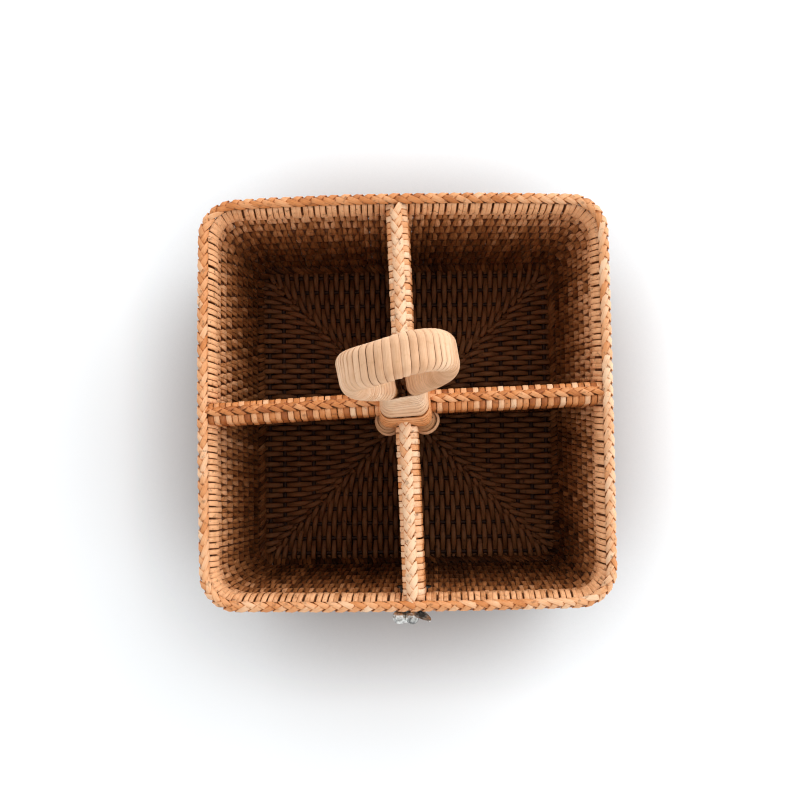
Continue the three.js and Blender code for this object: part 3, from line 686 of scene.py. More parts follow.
# %% Floor strips
FLOOR_LEVEL = 2.75
FLOOR_REACH = 73.5
FLOOR_COURSES = 10
FLOOR_STRIPS = 28
FLOOR_STRIP_WIDTH = 2.62
FLOOR_WAVE = 1.0
FLOOR_STEPS = 5
FLOOR_CORNER = 5.0
FLOOR_CORNER_REST = 0.5
FLOOR_HOLE = 1.0
FEATHER = 8.0
FEATHER_START = 0.4
FEATHER_TIP = 0.45
FLOOR_SPREAD = 0.1
FLOOR_SWELL = (1.02, 0.04)
FLOOR_SHOULDER = 0.5
# Painted shade on the edges of the floor strips
FLOOR_EDGE_SHADE = 0.25
FLOOR_TONE = 0.72
FLOOR_TONE_SPREAD = 0.13
CREST_LIGHT_AND_DIP_SHADE = 0.16
RIGHT_PAINTED_LIGHT = 0.14
RIGHT_LIGHT_REACH = 40
floor_course = FLOOR_REACH / FLOOR_COURSES


def floor_strips(group, quarter):
    """Strips of one side that start in the same course.

    At a distance r from the middle, x = start + feather * (1 - exp(-(r - start) / feather)), so that a strip
    leaves the diagonal along it and turns to run straight out to its side."""
    number = np.arange(-FLOOR_STRIPS, FLOOR_STRIPS) + 0.5
    place = np.abs(number) * FLOOR_STRIP_WIDTH
    start = np.maximum(place - FEATHER, -FEATHER)
    first = np.clip((np.maximum(start, 0) / floor_course).astype(int), 0, FLOOR_COURSES - 1)
    chosen = first == group
    if not chosen.any():
        return None
    number, place, start = number[chosen, None], place[chosen, None], start[chosen, None]
    over = np.maximum(place - (FLOOR_REACH - FLOOR_CORNER), 0)
    reach = FLOOR_REACH - FLOOR_CORNER + np.sqrt(np.maximum(FLOOR_CORNER**2 - over**2, FLOOR_CORNER_REST))
    low = np.maximum(start + FEATHER_START * FEATHER, FLOOR_HOLE)
    t = np.linspace(0, 1, (FLOOR_COURSES - group) * FLOOR_STEPS + 1)[None]
    r = low + (reach - low) * t
    spread = 1 - np.exp(-(r - start) / FEATHER)
    x = np.sign(number) * (start + FEATHER * spread) + chance.normal(0, FLOOR_SPREAD, number.shape)
    x = np.where(place < FEATHER, number * FLOOR_STRIP_WIDTH + 0 * r, x)
    phase = r / floor_course - 0.5 + np.floor(number)
    spin = np.exp(0.5j * np.pi * quarter)
    lift = np.cos(np.pi * phase)
    flat = (x - 1j * r) * spin
    middle = raised(flat, FLOOR_LEVEL + FLOOR_WAVE * lift)
    swell = FLOOR_SWELL[0] + FLOOR_SWELL[1] * lift
    width = 0.5 * FLOOR_STRIP_WIDTH * swell * np.clip(FEATHER_TIP + spread, 0, 1)
    # Painted light on the crests of the strips and painted shade in their dips
    tone = chance.normal(FLOOR_TONE, FLOOR_TONE_SPREAD, number.shape) + CREST_LIGHT_AND_DIP_SHADE * lift
    # Painted light: the floor grows lighter towards its right side
    tone = tone + RIGHT_PAINTED_LIGHT * np.clip(flat.real / RIGHT_LIGHT_REACH, 0, 1)
    section = strip_section(width, STRIP_THICKNESS, FLOOR_SHOULDER)
    return sweep(middle, UP, section, np.clip(tone, *TONE_RANGE), edge=FLOOR_EDGE_SHADE)


floor_shapes = [floor_strips(group, quarter) for group in range(FLOOR_COURSES) for quarter in range(4)]
put("floor_strips", [s for s in floor_shapes if s is not None], shaded_floor_finish, "peel", "floor_weave")

# %% Floor rods
FLOOR_ROD_STEPS = 128
FLOOR_ROD_SIZE = (0.95, 0.8)
FLOOR_ROD_OUT = 1.0
FLOOR_ROD_CORNER = (0.3, 0.1)
# Painted shade: the rods are darkest, as they show only as dark dots between the floats
FLOOR_ROD_SHADE_TONE = -0.2


def floor_rods():
    """Thin square rods, one in each course and one under the foot of the wall."""
    share = (np.arange(FLOOR_ROD_STEPS) / FLOOR_ROD_STEPS)[None]
    half = (np.arange(FLOOR_COURSES + 1) + 0.5)[:, None] * floor_course
    half = np.minimum(half, FLOOR_REACH + FLOOR_ROD_OUT)
    flat, _ = ring(share, half, FLOOR_ROD_CORNER[1] * half + FLOOR_ROD_CORNER[0])
    section = round_section(1, HOOP_SPOTS) * FLOOR_ROD_SIZE
    tone = np.full(FLOOR_COURSES + 1, FLOOR_ROD_SHADE_TONE)
    return sweep(raised(flat, FLOOR_LEVEL + 0 * share), UP, section, tone, closed=True)


put("floor_rods", [floor_rods()], shaded_floor_finish, "peel")

# %% [markdown]
# ## Dividers
#
# Two panels in the same weave stand upright and cross in the middle. They were put in by hand, slightly
# turned against the walls, so the same turn is used for everything that stands on them. A panel could be a
# flattened copy of a wall, but its ends follow the slope of the walls, so its strips are laid anew, at even
# shares of its length.

# %% Divider panels
TURN = np.radians(1.8)
DIVIDER_TOP = 90.4
DIVIDER_FOOT = 5.0
DIVIDER_STAKES = 62
DIVIDER_ROOM = 3.0
DIVIDER_SPREAD = 0.12
DIVIDER_SHADE = 0.1
OPEN_STAKES = 1.1


def turned(points, extra=0.0):
    """Points turned about the upright axis by the dividers' own turn and a further angle."""
    flat = (points[..., 0] + 1j * points[..., 1]) * np.exp(1j * (TURN + extra))
    return raised(flat, points[..., 2])


def divider(quarter, open_middle):
    """Upright strips at even shares of the panel's length, which follows the slope of the walls."""
    level = np.linspace(0, WALL_COURSES, WALL_COURSES * STEPS_PER_COURSE + 1)[None]
    z = DIVIDER_TOP + (DIVIDER_FOOT - DIVIDER_TOP) * level / WALL_COURSES
    reach = RIM_MIDDLE - WALL_SLOPE * (WALL_TOP - z) - DIVIDER_ROOM
    stake = np.repeat(np.arange(DIVIDER_STAKES), 2)[:, None]
    twin = np.tile([-0.5, 0.5], DIVIDER_STAKES)[:, None]
    if open_middle:
        keep = np.abs(stake[:, 0] + 0.5 - DIVIDER_STAKES / 2) > OPEN_STAKES
        stake, twin = stake[keep], twin[keep]
    phase = level - 0.5 + stake
    width = squeeze(phase) * chance.uniform(*WIDTH_SPREAD, stake.shape)
    home = (stake + 0.5) / DIVIDER_STAKES * 2 - 1
    x = home * reach + twin * STRIP_WIDTH * width + chance.normal(0, DIVIDER_SPREAD, stake.shape)
    y = WAVE * wave(phase) * chance.uniform(*WAVE_SPREAD, stake.shape)
    middle = turned(np.stack(np.broadcast_arrays(x, y, z), -1), quarter * np.pi / 2)
    face = turned(BACK, quarter * np.pi / 2)
    # Painted light and shade by depth, as on the walls, and a little darker still
    tone = painted_depth_shading(DIVIDER_TOP - z) - DIVIDER_SHADE + 0 * phase
    tone = tone + chance.normal(0, TONE_SPREAD, stake.shape)
    section = strip_section(0.5 * STRIP_WIDTH * width, STRIP_THICKNESS)
    return sweep(middle, face, section, np.clip(tone, *TONE_RANGE))


put("divider_cross_weave", [divider(0, False)], peel_finish, "peel", "divider_cross")
put("divider_fore_aft_weave", [divider(1, True)], peel_finish, "peel", "divider_fore_aft")

# %% Divider rods
DIVIDER_ROD_ROOM = 2.5
DIVIDER_ROD_STEPS = 9


def divider_rods(quarter):
    """Straight rods inside a panel, one for each course."""
    level = (np.arange(WALL_COURSES) + 0.5)[:, None] / WALL_COURSES
    z = DIVIDER_TOP + (DIVIDER_FOOT - DIVIDER_TOP) * level
    reach = RIM_MIDDLE - WALL_SLOPE * (WALL_TOP - z) - DIVIDER_ROD_ROOM
    x = reach * np.linspace(-1, 1, DIVIDER_ROD_STEPS)[None]
    middle = turned(np.stack(np.broadcast_arrays(x, 0 * x, z), -1), quarter * np.pi / 2)
    return sweep(middle, UP, round_section(HOOP_RADIUS, HOOP_SPOTS), np.full(WALL_COURSES, HOOP_SHADE_TONE))


put("divider_rods", [divider_rods(0), divider_rods(1)], rod_finish, "peel")

# %% [markdown]
# ## Braided rim and caps
#
# The rim and the tops of the dividers are finished with a herringbone braid. Strips come up from both
# sides, cross over the top at a slant and dive under the strips of the other side, so the top shows a row
# of arrow heads. On the rim the arrows point counter-clockwise. A texture of arrows on a tube would leave
# its outline smooth, so each arm is a strip. One function lays an arm over any rounded edge; the rim and
# the caps only say where a length along the edge lies in space.

# %% Arms of a herringbone
BRAID_RISE = 1.75
BRAID_RUN = 4.4
ARM_STEPS = 12
ARM_ANGLES = (122, -26)
ARM_THICKNESS = 0.6
ARM_SHOULDER = 0.86
ARM_SPREAD = (0.93, 1.04)
ARM_LIFT_SPREAD = 0.05
ARM_PLACE_SPREAD = 0.12
ARM_SWELL = 0.2
SWELL_PLACE = 0.32
SWELL_LENGTH = 0.3
ARM_DIVE = 1.2
DIVE_START = 0.05
DIVE_LENGTH = 0.45
ARM_SIDE = 0.98
ARM_SIDE_WIDTH = 0.52
ARM_ROOM = 0.3
ARM_OVERLAP = 0.04
ARM_TONE = 0.62
ARM_TONE_SPREAD = 0.13
# Painted shade on the edges of the braid's arms
ARM_EDGE_SHADE = 0.5
DIVE_SHADE = 0.35
BRAID_TONES = (0.03, 0.97)


def braid_arms(first, count, pitch, half, tone_at, where):
    """One strip for each arm on each side of an edge.

    The arm turns over an ellipse, out = half * sin(angle) and up = rise * cos(angle), from below the edge to
    just past the top. Seen from above it runs straight and at a slant: ahead = run * (1 - sin(angle)).
    It swells where it crosses over and dives at its tip. where() gives the points and directions in space."""
    arm = np.repeat(np.arange(first, count), 2)[:, None]
    side = np.tile([1, -1], count - first)[:, None]
    angle = np.radians(np.linspace(*ARM_ANGLES, ARM_STEPS))[None]
    inward = np.where(angle > np.pi / 2, 1, np.sin(angle))
    dive = np.clip((DIVE_START - inward) / DIVE_LENGTH, 0, 1)
    swell = ARM_SWELL * np.exp(-(((inward - SWELL_PLACE) / SWELL_LENGTH) ** 2)) - ARM_DIVE * dive
    lift = swell + chance.normal(0, ARM_LIFT_SPREAD, arm.shape)
    out = side * (half + lift) * np.sin(angle)
    up = (BRAID_RISE + lift) * np.cos(angle)
    along = (arm + 0.25 * (1 - side)) * pitch + BRAID_RUN * (1 - inward)
    along = along + chance.normal(0, ARM_PLACE_SPREAD, arm.shape)
    face_out, face_up = side * np.sin(angle) * BRAID_RISE, np.cos(angle) * half
    middle, face = where(along, out, up, face_out + 0 * along, face_up + 0 * along)
    slant = np.arctan2(half + ARM_ROOM, BRAID_RUN)
    width = 0.5 * pitch * np.where(inward > ARM_SIDE, ARM_SIDE_WIDTH, np.sin(slant) + ARM_OVERLAP)
    width = width * chance.uniform(*ARM_SPREAD, arm.shape)
    tone = chance.normal(ARM_TONE, ARM_TONE_SPREAD, arm.shape) + tone_at(along) - DIVE_SHADE * dive
    section = strip_section(width, ARM_THICKNESS, ARM_SHOULDER)
    return sweep(middle, unit(face), section, np.clip(tone, *BRAID_TONES), edge=ARM_EDGE_SHADE)


# %% Rim braid
RIM_LEVEL = 97.3
RIM_CHEVRONS = 128
RIM_HALF = 1.95
RIM_PLACES = [0, 0.12, 0.37, 0.62, 0.87, 1]
RIM_TONES = [0.0, -0.05, 0.28, -0.26, 0.05, 0.0]


def on_rim(along, out, up, face_out, face_up):
    """A length along the rim is a share of the way round it; out widens the ring, up lifts it."""
    flat, outward = ring((along / rim_length) % 1, RIM_MIDDLE + out, WALL_CORNER + out, 1.0)
    return raised(flat, RIM_LEVEL + up), raised(outward * face_out, face_up)


def rim_tone(along):
    """Tone added along the rim: palest on the right, most orange at the back."""
    return np.interp((along / rim_length) % 1, RIM_PLACES, RIM_TONES)


rim_arms = braid_arms(0, RIM_CHEVRONS, rim_length / RIM_CHEVRONS, RIM_HALF, rim_tone, on_rim)
put("rim_braid_strips", [rim_arms], braid_finish, "braid", "rim_braid")

# %% Rod under the rim braid
RIM_ROD_RADIUS = 1.6
RIM_ROD_DROP = 0.5
RIM_ROD_TONE = 0.4
CORE_SPOTS = 10
rim_share = (np.arange(RING_STEPS) / RING_STEPS)[None]
rim_flat, _ = ring(rim_share, RIM_MIDDLE, WALL_CORNER, 1.0)
rim_core = raised(rim_flat, RIM_LEVEL - RIM_ROD_DROP + 0 * rim_share)
rim_rod = sweep(rim_core, UP, round_section(RIM_ROD_RADIUS, CORE_SPOTS), [RIM_ROD_TONE], closed=True)
put("rim_core", [rim_rod], rod_finish, "rattan", "rim_rod")

# %% Braid and sides of a cap
CAP_LEVEL = 94.17
CAP_HALF = 4.45
CAP_RISE = 3.4
CAP_START = 10.8
CAP_END = 85.4
CAP_PITCH = 5.3
CAP_SIDE_STEPS = 10
CAP_SIDE_ANGLES = (14, 100)
CAP_STEP = 0.1
CAP_SPREAD = 0.06
CAP_PLACE_SPREAD = 0.1
CAP_WIDTH_SPREAD = (0.93, 1.02)
CAP_TONE = 0.76
CAP_TONE_SPREAD = 0.12
SKIRT_START = 0.65
SKIRT_DROP = 6.0
SKIRT_OUT = (0.8, -1.4)
SKIRT_POWER = 1.5
SKIRT_SHADE = 0.45


def on_cap(heading, ahead, end, level, tilt):
    """A length along a cap runs from the collar to the wall, or back, on one arm of the cross.

    The tilt rolls the cap about its rod, as the braid of the cross divider lies a little to the front."""

    def where(along, out, up, face_out, face_up):
        x = CAP_START + along if ahead > 0 else end - along
        rolled = (out * ahead + 1j * (level + up)) * np.exp(1j * tilt)
        rolled_face = (face_out * ahead + 1j * face_up) * np.exp(1j * tilt)
        points = np.stack(np.broadcast_arrays(x, rolled.real, CAP_LEVEL + rolled.imag), -1)
        face = np.stack(np.broadcast_arrays(0 * x, rolled_face.real, rolled_face.imag), -1)
        return turned(points, heading), turned(face, heading)

    return where


def cap_sides(count, pitch, shade, contrast, where):
    """Upright strips on both sides of a cap, two for each arrow head, from under the braid to the divider.

    First they turn over an ellipse round the rod, then they go down the skirt, out on the one side and in to
    the panel on the other."""
    strip = np.repeat(np.arange(2 * count), 2)[:, None]
    side = np.tile([1, -1], 2 * count)[:, None]
    u = np.linspace(0, 1, CAP_SIDE_STEPS)[None]
    angle = np.radians(np.interp(u, [0, SKIRT_START], CAP_SIDE_ANGLES))
    skirt = np.clip((u - SKIRT_START) / (1 - SKIRT_START), 0, 1)
    odd = strip % 2
    half = CAP_HALF - CAP_STEP * odd + chance.normal(0, CAP_SPREAD, strip.shape)
    out = side * (half * np.sin(angle) + np.where(side > 0, *SKIRT_OUT) * skirt**SKIRT_POWER)
    up = CAP_RISE * np.cos(angle) - SKIRT_DROP * skirt
    along = (strip + 0.5) * pitch / 2 + chance.normal(0, CAP_PLACE_SPREAD, strip.shape) + 0 * u
    face_out = side * np.sin(np.minimum(angle, np.pi / 2)) * CAP_RISE + 0 * along
    face_up = np.maximum(np.cos(angle), 0) * CAP_HALF + 0 * along
    middle, face = where(along, out, up, face_out, face_up)
    tone = shade + chance.normal(CAP_TONE, CAP_TONE_SPREAD, strip.shape)
    tone = tone - contrast * odd - SKIRT_SHADE * skirt
    width = np.broadcast_to(0.25 * pitch * chance.uniform(*CAP_WIDTH_SPREAD, strip.shape), along.shape)
    section = strip_section(width, ARM_THICKNESS)
    return sweep(middle, unit(face), section, np.clip(tone, *BRAID_TONES))


# %% The four caps and their rods
CAP_BRAID_LIFT = 2.75
CAP_SIDE_SHADE = 0.4
CAP_ROD_RADIUS = 3.0
CAP_ROD_STEPS = 12
CAP_ROD_TONE = 0.3
# Name, quarter turn, way of the arrows, degrees askew, roll, shade, contrast, half width of the braid
CAPS = [
    ("right", 0, -1, 0.0, -0.22, -0.24, 0.42, 1.7),
    ("back", 1, -1, 0.0, -0.06, 0.34, 0.22, 2.3),
    ("left", 2, 1, 1.1, 0.25, -0.28, 0.42, 1.7),
    ("front", 3, 1, 0.0, 0.2, 0.38, 0.22, 2.3),
]
cap_count = int((CAP_END - CAP_START) / CAP_PITCH)
for name, quarter, ahead, askew, tilt, shade, contrast, half in CAPS:
    heading = quarter * np.pi / 2 + np.radians(askew)
    end = CAP_END + SIDE_BOW[(quarter + 1) % 4]
    pitch = (end - CAP_START) / cap_count
    first = -1 if ahead > 0 else 0
    on_top = on_cap(heading, ahead, end, CAP_BRAID_LIFT, tilt)
    on_sides = on_cap(heading, ahead, end, 0.0, 0.0)
    arms = braid_arms(first, cap_count, pitch, half, lambda along: shade, on_top)
    sides = cap_sides(cap_count, pitch, CAP_SIDE_SHADE * shade, contrast, on_sides)
    put("cap_braid_" + name, [arms, sides], braid_finish, "braid", "cap_" + name)
    rod_x = np.linspace(CAP_START, CAP_END, CAP_ROD_STEPS)[None]
    rod_line = turned(np.stack([rod_x, 0 * rod_x, CAP_LEVEL + 0 * rod_x], -1), heading)
    rod = sweep(rod_line, UP, round_section(CAP_ROD_RADIUS, CORE_SPOTS), [CAP_ROD_TONE])
    put("cap_core_" + name, [rod], rod_finish, "rattan", "cap_rod_" + name)

# %% [markdown]
# ## Handle rods
#
# Two rattan rods are bent side by side into a loop. Their four ends stand in the corners of the crossing,
# draw together at the neck, and rise into the loop, which leans back and is twisted a little. A curve
# object could draw them, but the cane round them needs the same path as numbers. So half the loop is worked
# out in its own plane with two Bezier curves, mirrored, and placed in the basket.

# %% Place of the handle in the basket
CAP_TOP = 99.0
LEG_OFFSET = 7.375
NECK_OFFSET = 3.45
GATHER_START = -8.33
NECK_FOOT = 10.5
NECK_TOP = 24.0
LOOP_TOP = 111.52
LOOP_WIDTH = 45.0
CROWN_FOOT = 86.52
TWIST_START = -2.0
TWIST_END = 28.0
HANDLE_TWIST = np.radians(8.2)
HANDLE_LEAN = np.tan(np.radians(0.5))
HANDLE_MOVE = -1.2 + 6.8j
CROWN_SWAY = 0.8
flare = CROWN_FOOT - NECK_TOP
crown = LOOP_TOP - CROWN_FOOT


def smooth(t):
    """0 before 0, 1 after 1, and 3t^2 - 2t^3 between."""
    t = np.clip(t, 0, 1)
    return t * t * (3 - 2 * t)


def placed(along, across, rise):
    """From the loop's own directions to the basket's.

    The legs move back and left as they rise to the neck. The loop twists, leans and sways, and all of it is
    turned with the dividers."""
    along, across, rise = np.broadcast_arrays(along, across, rise)
    settled = smooth((rise - GATHER_START) / (NECK_TOP - GATHER_START))
    twisted = smooth((rise - TWIST_START) / (TWIST_END - TWIST_START))
    in_crown = smooth((rise - CROWN_FOOT + crown) / (2 * crown))
    sway = CROWN_SWAY * np.sin(2 * np.pi * along / LOOP_WIDTH) * in_crown
    flat = (along + 1j * across) * np.exp(1j * HANDLE_TWIST * twisted)
    flat = flat + HANDLE_MOVE * settled + 1j * (HANDLE_LEAN * np.maximum(rise, 0) + sway)
    return turned(raised(flat, CAP_TOP + rise))


def gathered(rise, neck):
    """How far a leg stands from the middle: wide in the basket, drawn in to its place at the neck."""
    return LEG_OFFSET + (neck - LEG_OFFSET) * smooth((rise - GATHER_START) / (NECK_FOOT - GATHER_START))


# %% Path of the loop
NECK_SPREAD = 5.2
LOOP_HALF = 18.02
NECK_PULL = 0.06
SIDE_BULGE = 1.12
SIDE_PULL = 0.72
SHOULDER_PULL = 0.6
CROWN_PULL = 0.62
CURVE_POINTS = 200


def bezier(a, b, c, d):
    """Cubic Bezier curve: (1-t)^3 a + 3(1-t)^2 t b + 3(1-t) t^2 c + t^3 d."""
    t = np.linspace(0, 1, CURVE_POINTS)[:, None]
    a, b, c, d = map(np.array, (a, b, c, d))
    return (1 - t) ** 3 * a + 3 * (1 - t) ** 2 * t * b + 3 * (1 - t) * t**2 * c + t**3 * d


side_curve = bezier(
    (NECK_SPREAD, NECK_TOP),
    (NECK_SPREAD, NECK_TOP + NECK_PULL * flare),
    (SIDE_BULGE * LOOP_HALF, CROWN_FOOT - SIDE_PULL * flare),
    (LOOP_HALF, CROWN_FOOT),
)
crown_curve = bezier(
    (LOOP_HALF, CROWN_FOOT),
    (LOOP_HALF, CROWN_FOOT + SHOULDER_PULL * crown),
    (CROWN_PULL * LOOP_HALF, LOOP_TOP),
    (0, LOOP_TOP),
)
half_loop = np.concatenate([side_curve, crown_curve[1:]])
loop_line = np.concatenate([half_loop * [-1, 1], half_loop[-2::-1]])
loop_way = np.concatenate([[0], np.cumsum(np.linalg.norm(np.diff(loop_line, axis=0), axis=1))])
loop_slope = unit(np.gradient(loop_line, axis=0))
print("loop is", round(loop_way[-1], 1), "mm long")


def on_loop(way):
    """Point and slope of the loop's middle line at a length along it, between the points worked out above."""
    point = [np.interp(way, loop_way, loop_line[:, k]) for k in (0, 1)]
    slope = [np.interp(way, loop_way, loop_slope[:, k]) for k in (0, 1)]
    return point, slope


# %% Rods
ROD_RADIUS = 3.25
ROD_SPOTS = 14
ROD_TONE = 0.55
LEG_FOOT = 5.0
LEG_POINTS = 20
LOOP_POINTS = 90


def handle_rod(across):
    """A leg from the floor to the neck, the loop, and the other leg down again."""
    rise = np.concatenate([[LEG_FOOT - CAP_TOP], np.linspace(GATHER_START, NECK_TOP, LEG_POINTS)[:-1]])
    left = np.stack([-gathered(rise, NECK_SPREAD), across * gathered(rise, NECK_OFFSET), rise], -1)
    (x, z), _ = on_loop(np.linspace(0, loop_way[-1], LOOP_POINTS))
    top = np.stack([x, np.full_like(x, across * NECK_OFFSET), z], -1)
    line = np.concatenate([left, top, left[::-1] * [-1, 1, 1]])
    middle = placed(line[:, 0], line[:, 1], line[:, 2])[None]
    return sweep(middle, BACK, round_section(ROD_RADIUS, ROD_SPOTS), [ROD_TONE])


put("handle_rod_front_cane", [handle_rod(-1)], rod_finish, "rattan", "handle_rod_front")
put("handle_rod_back_cane", [handle_rod(1)], rod_finish, "rattan", "handle_rod_back")

# %% [markdown]
# ## Cane wrap of the handle
#
# One flat cane is wound round both rods, turn beside turn. It could be a stack of separate rings, but the
# real cane is one long strip, so it is one strip here too: a helix round a band with rounded edges, whose
# width at each place is the distance to its next turn. Some turns are wider or darker, and a few gaps stand
# open.

# %% The band round both rods
def band(share, half, radius):
    """Point and outward direction round a band with two straight faces and two half-round edges."""
    whole = 4 * half + 2 * np.pi * radius
    marks = np.cumsum([0, 2 * half, np.pi * radius, 2 * half, np.pi * radius]) / whole
    middle = np.interp(share % 1, marks, [-half, half, half, -half, -half])
    angle = np.radians(np.interp(share % 1, marks, [90, 90, -90, -90, -270]))
    return middle, np.cos(angle), np.sin(angle)


def on_band(way, share, lift):
    """A point off the loop's middle line, at a share of the way round the band, lifted off its core."""
    (x, z), (dx, dz) = on_loop(way)
    middle, side, out = band(share, NECK_OFFSET, lift)
    return placed(x - dz * lift * out, middle + lift * side, z + dx * lift * out)


# %% Turns of the wrap
WRAP_TURNS = 76
WRAP_STEPS = 36
WRAP_START = 0.6
WRAP_LIFT = 3.95
WRAP_THICKNESS = 0.4
WRAP_SHOULDER = 0.93
WRAP_SPREAD = (0.9, 1.1)
WRAP_SLACK = (0.985, 1.0)
WRAP_GAPS = {12: 0.93, 29: 0.95, 34: 0.94, 35: 0.92, 40: 0.92, 43: 0.84, 51: 0.92, 60: 0.93}
BEND_TURNS = range(44, 51)
BEND_GAP = 0.91
FACE_STEP = 0.2
whole_turns = np.arange(WRAP_TURNS + 2)
turn_no = np.arange(WRAP_TURNS * WRAP_STEPS + 1) / WRAP_STEPS
edges = np.concatenate([[0], np.cumsum(chance.uniform(*WRAP_SPREAD, WRAP_TURNS + 1))])
edges = WRAP_START + (loop_way[-1] - 2 * WRAP_START) * edges / edges[-1]
wrap_way = np.interp(turn_no, whole_turns, 0.5 * (edges + np.append(edges[1:], edges[-1])))
pitch_here = np.interp(turn_no, whole_turns[:-1], np.diff(edges))
wrap_line = on_band(wrap_way, turn_no, WRAP_LIFT)
wrap_face = unit(on_band(wrap_way, turn_no, WRAP_LIFT + FACE_STEP) - wrap_line)
wrap_next = on_band(wrap_way + 0.5 * pitch_here, turn_no, WRAP_LIFT)
wrap_before = on_band(wrap_way - 0.5 * pitch_here, turn_no, WRAP_LIFT)
slack = chance.uniform(*WRAP_SLACK, len(whole_turns))
slack[list(BEND_TURNS)] = BEND_GAP
slack[list(WRAP_GAPS)] = list(WRAP_GAPS.values())
wrap_width = 0.5 * np.linalg.norm(wrap_next - wrap_before, axis=-1) * np.interp(turn_no, whole_turns, slack)
wrap_section = strip_section(wrap_width[None], WRAP_THICKNESS, WRAP_SHOULDER)
print(WRAP_TURNS, "turns, about", round(2 * wrap_width.mean(), 2), "mm wide")

# %% Tones of the wrap: each turn has its own, and painted light makes them darker along the loop
WRAP_TONE = 0.57
WRAP_TONE_SPREAD = 0.1
WRAP_TONES = (0.2, 0.95)
WRAP_LIGHT_FADE = 0.4
# Painted shade on the edges of the wrap's turns
WRAP_EDGE_SHADE = 0.15
turn_tone = np.clip(chance.normal(WRAP_TONE, WRAP_TONE_SPREAD, len(whole_turns)), *WRAP_TONES)
# Painted light: bright at the start of the loop, darker towards its end
wrap_tone = np.interp(turn_no, whole_turns, turn_tone) + WRAP_LIGHT_FADE * (0.5 - turn_no / WRAP_TURNS)
wrap = sweep(wrap_line[None], wrap_face[None], wrap_section, wrap_tone[None], edge=WRAP_EDGE_SHADE)
put("handle_wrap_cane", [wrap], cane_finish, "cane", "handle_wrap")

# %% [markdown]
# ## Collar, neck and leg lashings
#
# Below the loop the four rod ends are bound together: a cone of narrow cane over the crossing, then a paler
# band round the neck. Under the cone each leg has its own short lashing. Stacked rings would show no slant,
# so all of them are helices again, now round a rounded square or a circle.

# %% Round the bundle of legs
SLANT_STEP = 0.1
LEG_CLEARANCE = 0.1


def leg_room(rise):
    """Half the level width of a leg, which grows with its slant, and room for the cane."""
    slants = []
    for x, y in [(1, 1), (-1, 1), (-1, -1), (1, -1)]:
        above, below = (
            placed(x * gathered(level, NECK_SPREAD), y * gathered(level, NECK_OFFSET), level)
            for level in (rise + SLANT_STEP, rise - SLANT_STEP)
        )
        slants.append(np.linalg.norm(above - below, axis=-1) / (2 * SLANT_STEP))
    return ROD_RADIUS * np.max(slants, axis=0) + LEG_CLEARANCE


def on_bundle(share, rise, lift):
    """A point round the four legs at a height above the caps: a rounded square, stretched along the loop."""
    across, along = gathered(rise, NECK_OFFSET), gathered(rise, NECK_SPREAD)
    room = leg_room(rise) + lift
    flat, _ = ring(share % 1, across + room, room)
    return placed(flat.real + (along - across) * np.clip(flat.real / across, -1, 1), flat.imag, rise)


# %% Collar and neck
COLLAR_TURNS = 5
COLLAR_FOOT = -5.8
COLLAR_TOP = 2.6
COLLAR_OVERLAP = 0.8
NECK_TURNS = 9
WINDING_START = 0.56
BUNDLE_STEPS = 48
CANE_THICKNESS = 0.7
CANE_SHOULDER = 0.86
CANE_TONE_SPREAD = 0.09
CANE_TONES = (0.1, 0.95)
SHARE_STEP = 0.004
RISE_STEP = 0.2


def bundle_winding(low, high, turns, gap, tones, edge):
    """A helix of cane between two heights, whose face is the cross product of two directions on the cone."""
    t = np.arange(turns * BUNDLE_STEPS + 1) / BUNDLE_STEPS
    pitch = (high - low) / (turns + 1)
    rise = low + pitch * (t + 0.5)
    share = t + WINDING_START
    lift = CANE_THICKNESS / 2
    line = on_bundle(share, rise, lift)
    round_it = on_bundle(share + SHARE_STEP, rise, lift) - on_bundle(share - SHARE_STEP, rise, lift)
    upward = on_bundle(share, rise + RISE_STEP, lift) - on_bundle(share, rise - RISE_STEP, lift)
    face = unit(np.cross(round_it, upward))
    tall = np.linalg.norm(upward, axis=-1) / (2 * RISE_STEP)
    width = 0.5 * pitch * tall * gap
    shade = np.linspace(*tones, turns + 2) + chance.normal(0, CANE_TONE_SPREAD, turns + 2)
    shade = np.interp(t, np.arange(turns + 2), np.clip(shade, *CANE_TONES))
    section = strip_section(width[None], CANE_THICKNESS, CANE_SHOULDER)
    return sweep(line[None], face[None], section, shade[None], edge=edge)


collar_end = COLLAR_TOP + COLLAR_OVERLAP
# The edges of the collar's and neck's turns get painted shade for the lines between them
collar = bundle_winding(COLLAR_FOOT, collar_end, COLLAR_TURNS, gap=0.9, tones=(0.42, 0.66), edge=0.45)
put("collar_cane", [collar], braid_finish, "braid", "collar_lashing")
neck = bundle_winding(COLLAR_TOP, NECK_TOP, NECK_TURNS, gap=0.98, tones=(0.5, 0.98), edge=0.2)
put("neck_cane", [neck], cane_finish, "cane", "neck_band")

# %% Lashings of the four legs
LEG_TURNS = 4
LEG_STEPS = 24
LEG_LASHING_HEIGHT = 10.0
LEG_REACH = (3.7, 5.0)
LEG_FLARE = 0.8
LEG_GAP = 0.94
LEG_SHADE_TONE = 0.06
LEG_FACE = (0.8, 0.6)
LOOSE_TURN = 1.8
LOOSE_PLACE = 2.0
LOOSE_LENGTH = 0.3
LOOSE_CORNER = 0.2
LOOSE_TONE = 0.3
LEGS = [("front_left", -1, -1), ("front_right", 1, -1), ("back_left", -1, 1), ("back_right", 1, 1)]


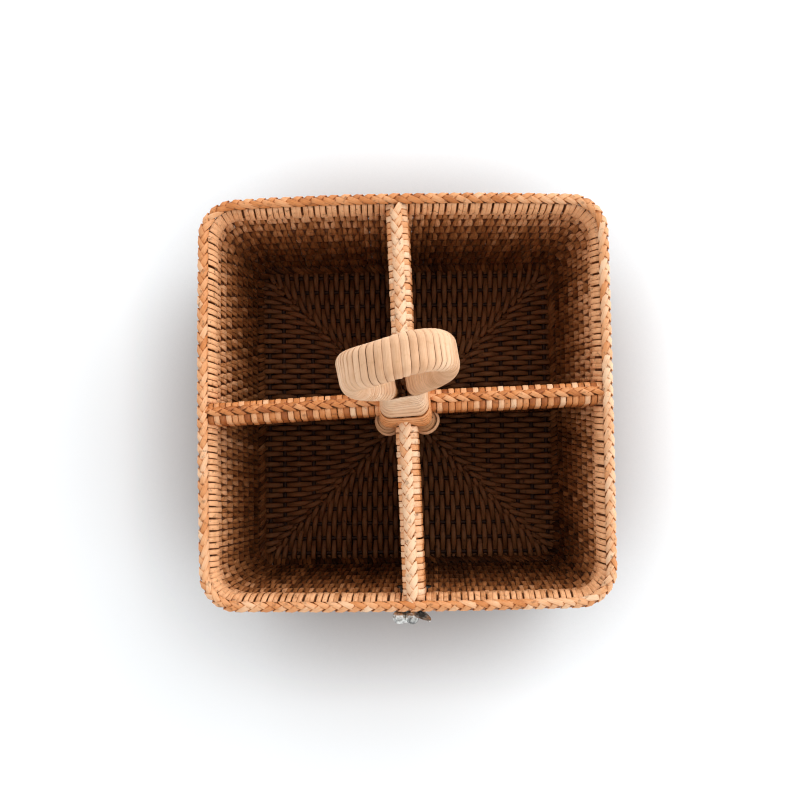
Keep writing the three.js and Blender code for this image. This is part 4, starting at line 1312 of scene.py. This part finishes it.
def leg_winding(x, y):
    """A short helix round one leg, just under the collar, with one loose turn off the outer corner.

    Its face looks out and a little up, as the lashing is wider below."""
    t = np.arange(LEG_TURNS * LEG_STEPS + 1) / LEG_STEPS
    pitch = LEG_LASHING_HEIGHT / (LEG_TURNS + 1)
    z = CAP_TOP + COLLAR_FOOT - LEG_LASHING_HEIGHT + pitch * (t + 0.5)
    round_it = np.exp(2j * np.pi * t)
    outer = np.cos(2 * np.pi * t - np.angle(x + 1j * y))
    off = np.minimum(LEG_REACH[0] + LEG_FLARE * (LEG_TURNS - t), LEG_REACH[1])
    loose = np.exp(-((t - LEG_TURNS + LOOSE_PLACE) ** 2) / LOOSE_LENGTH)
    off = off + LOOSE_TURN * np.clip(outer + LOOSE_CORNER, 0, 1) * loose
    line = turned(raised(LEG_OFFSET * (x + 1j * y) + off * round_it, z))
    face = turned(raised(LEG_FACE[0] * round_it, LEG_FACE[1] + 0 * z))
    width = np.full_like(t, 0.5 * pitch * LEG_GAP)
    # Dark orange brown, with painted shade for the dark under the collar; the loose turn stands out paler
    tone = LEG_SHADE_TONE + LOOSE_TONE * loose
    return sweep(line[None], face[None], strip_section(width[None], CANE_THICKNESS), tone[None])


for name, x, y in LEGS:
    put("leg_cane_" + name, [leg_winding(x, y)], cane_finish, "cane", "leg_lashing_" + name)

# %% [markdown]
# ## Sprig and pins
#
# A small cast sprig with berries and leaves hangs outside the front wall, held by two pins through the
# weave. The solid has the right form, so it keeps its mesh and only gets a pewter finish, lighter and
# darker in slow patches.

# %% Pewter
CLOUD_SCALE = 320
CLOUD_DETAIL = 4
CLOUD_RANGE = (0.40, 0.60)
PEWTER_GLOSS = (0.45, 0.2)
PEWTER_DEPTH = 0.0015
PEWTER_TINT = (1, 1, 0.96)


def pewter_finish(name, hollow, high):
    """Metal whose colour and roughness follow slow noise, with casting lumps as bump."""
    material = bpy.data.materials.new(name)
    material.use_nodes = True
    tree = material.node_tree
    surface = tree.nodes["Principled BSDF"]
    surface.inputs["Metallic"].default_value = 1.0
    place = tree.nodes.new("ShaderNodeTexCoord").outputs["Object"]
    cloud = noise(tree, place, CLOUD_SCALE, CLOUD_DETAIL)
    ramp = [(spot, [grey * part for part in PEWTER_TINT]) for spot, grey in zip(CLOUD_RANGE, (hollow, high))]
    tree.links.new(ramp_colour(tree, cloud, ramp), surface.inputs["Base Color"])
    sheen_and_relief(tree, cloud, PEWTER_GLOSS, 1.0, PEWTER_DEPTH)
    return material


pewter = pewter_finish("cast_pewter", hollow=0.14, high=0.78)
# The pins are painted near black, so that they don't show against the weave
dark_pewter = pewter_finish("near_black_pewter", hollow=0.03, high=0.08)
METALS = {"ornament_sprig": pewter, "sprig_pin_left": dark_pewter, "sprig_pin_right": dark_pewter}
for node, finish in METALS.items():
    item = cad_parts[node]
    item.data.materials.clear()
    item.data.materials.append(finish)
    print(node, "in", finish.name)
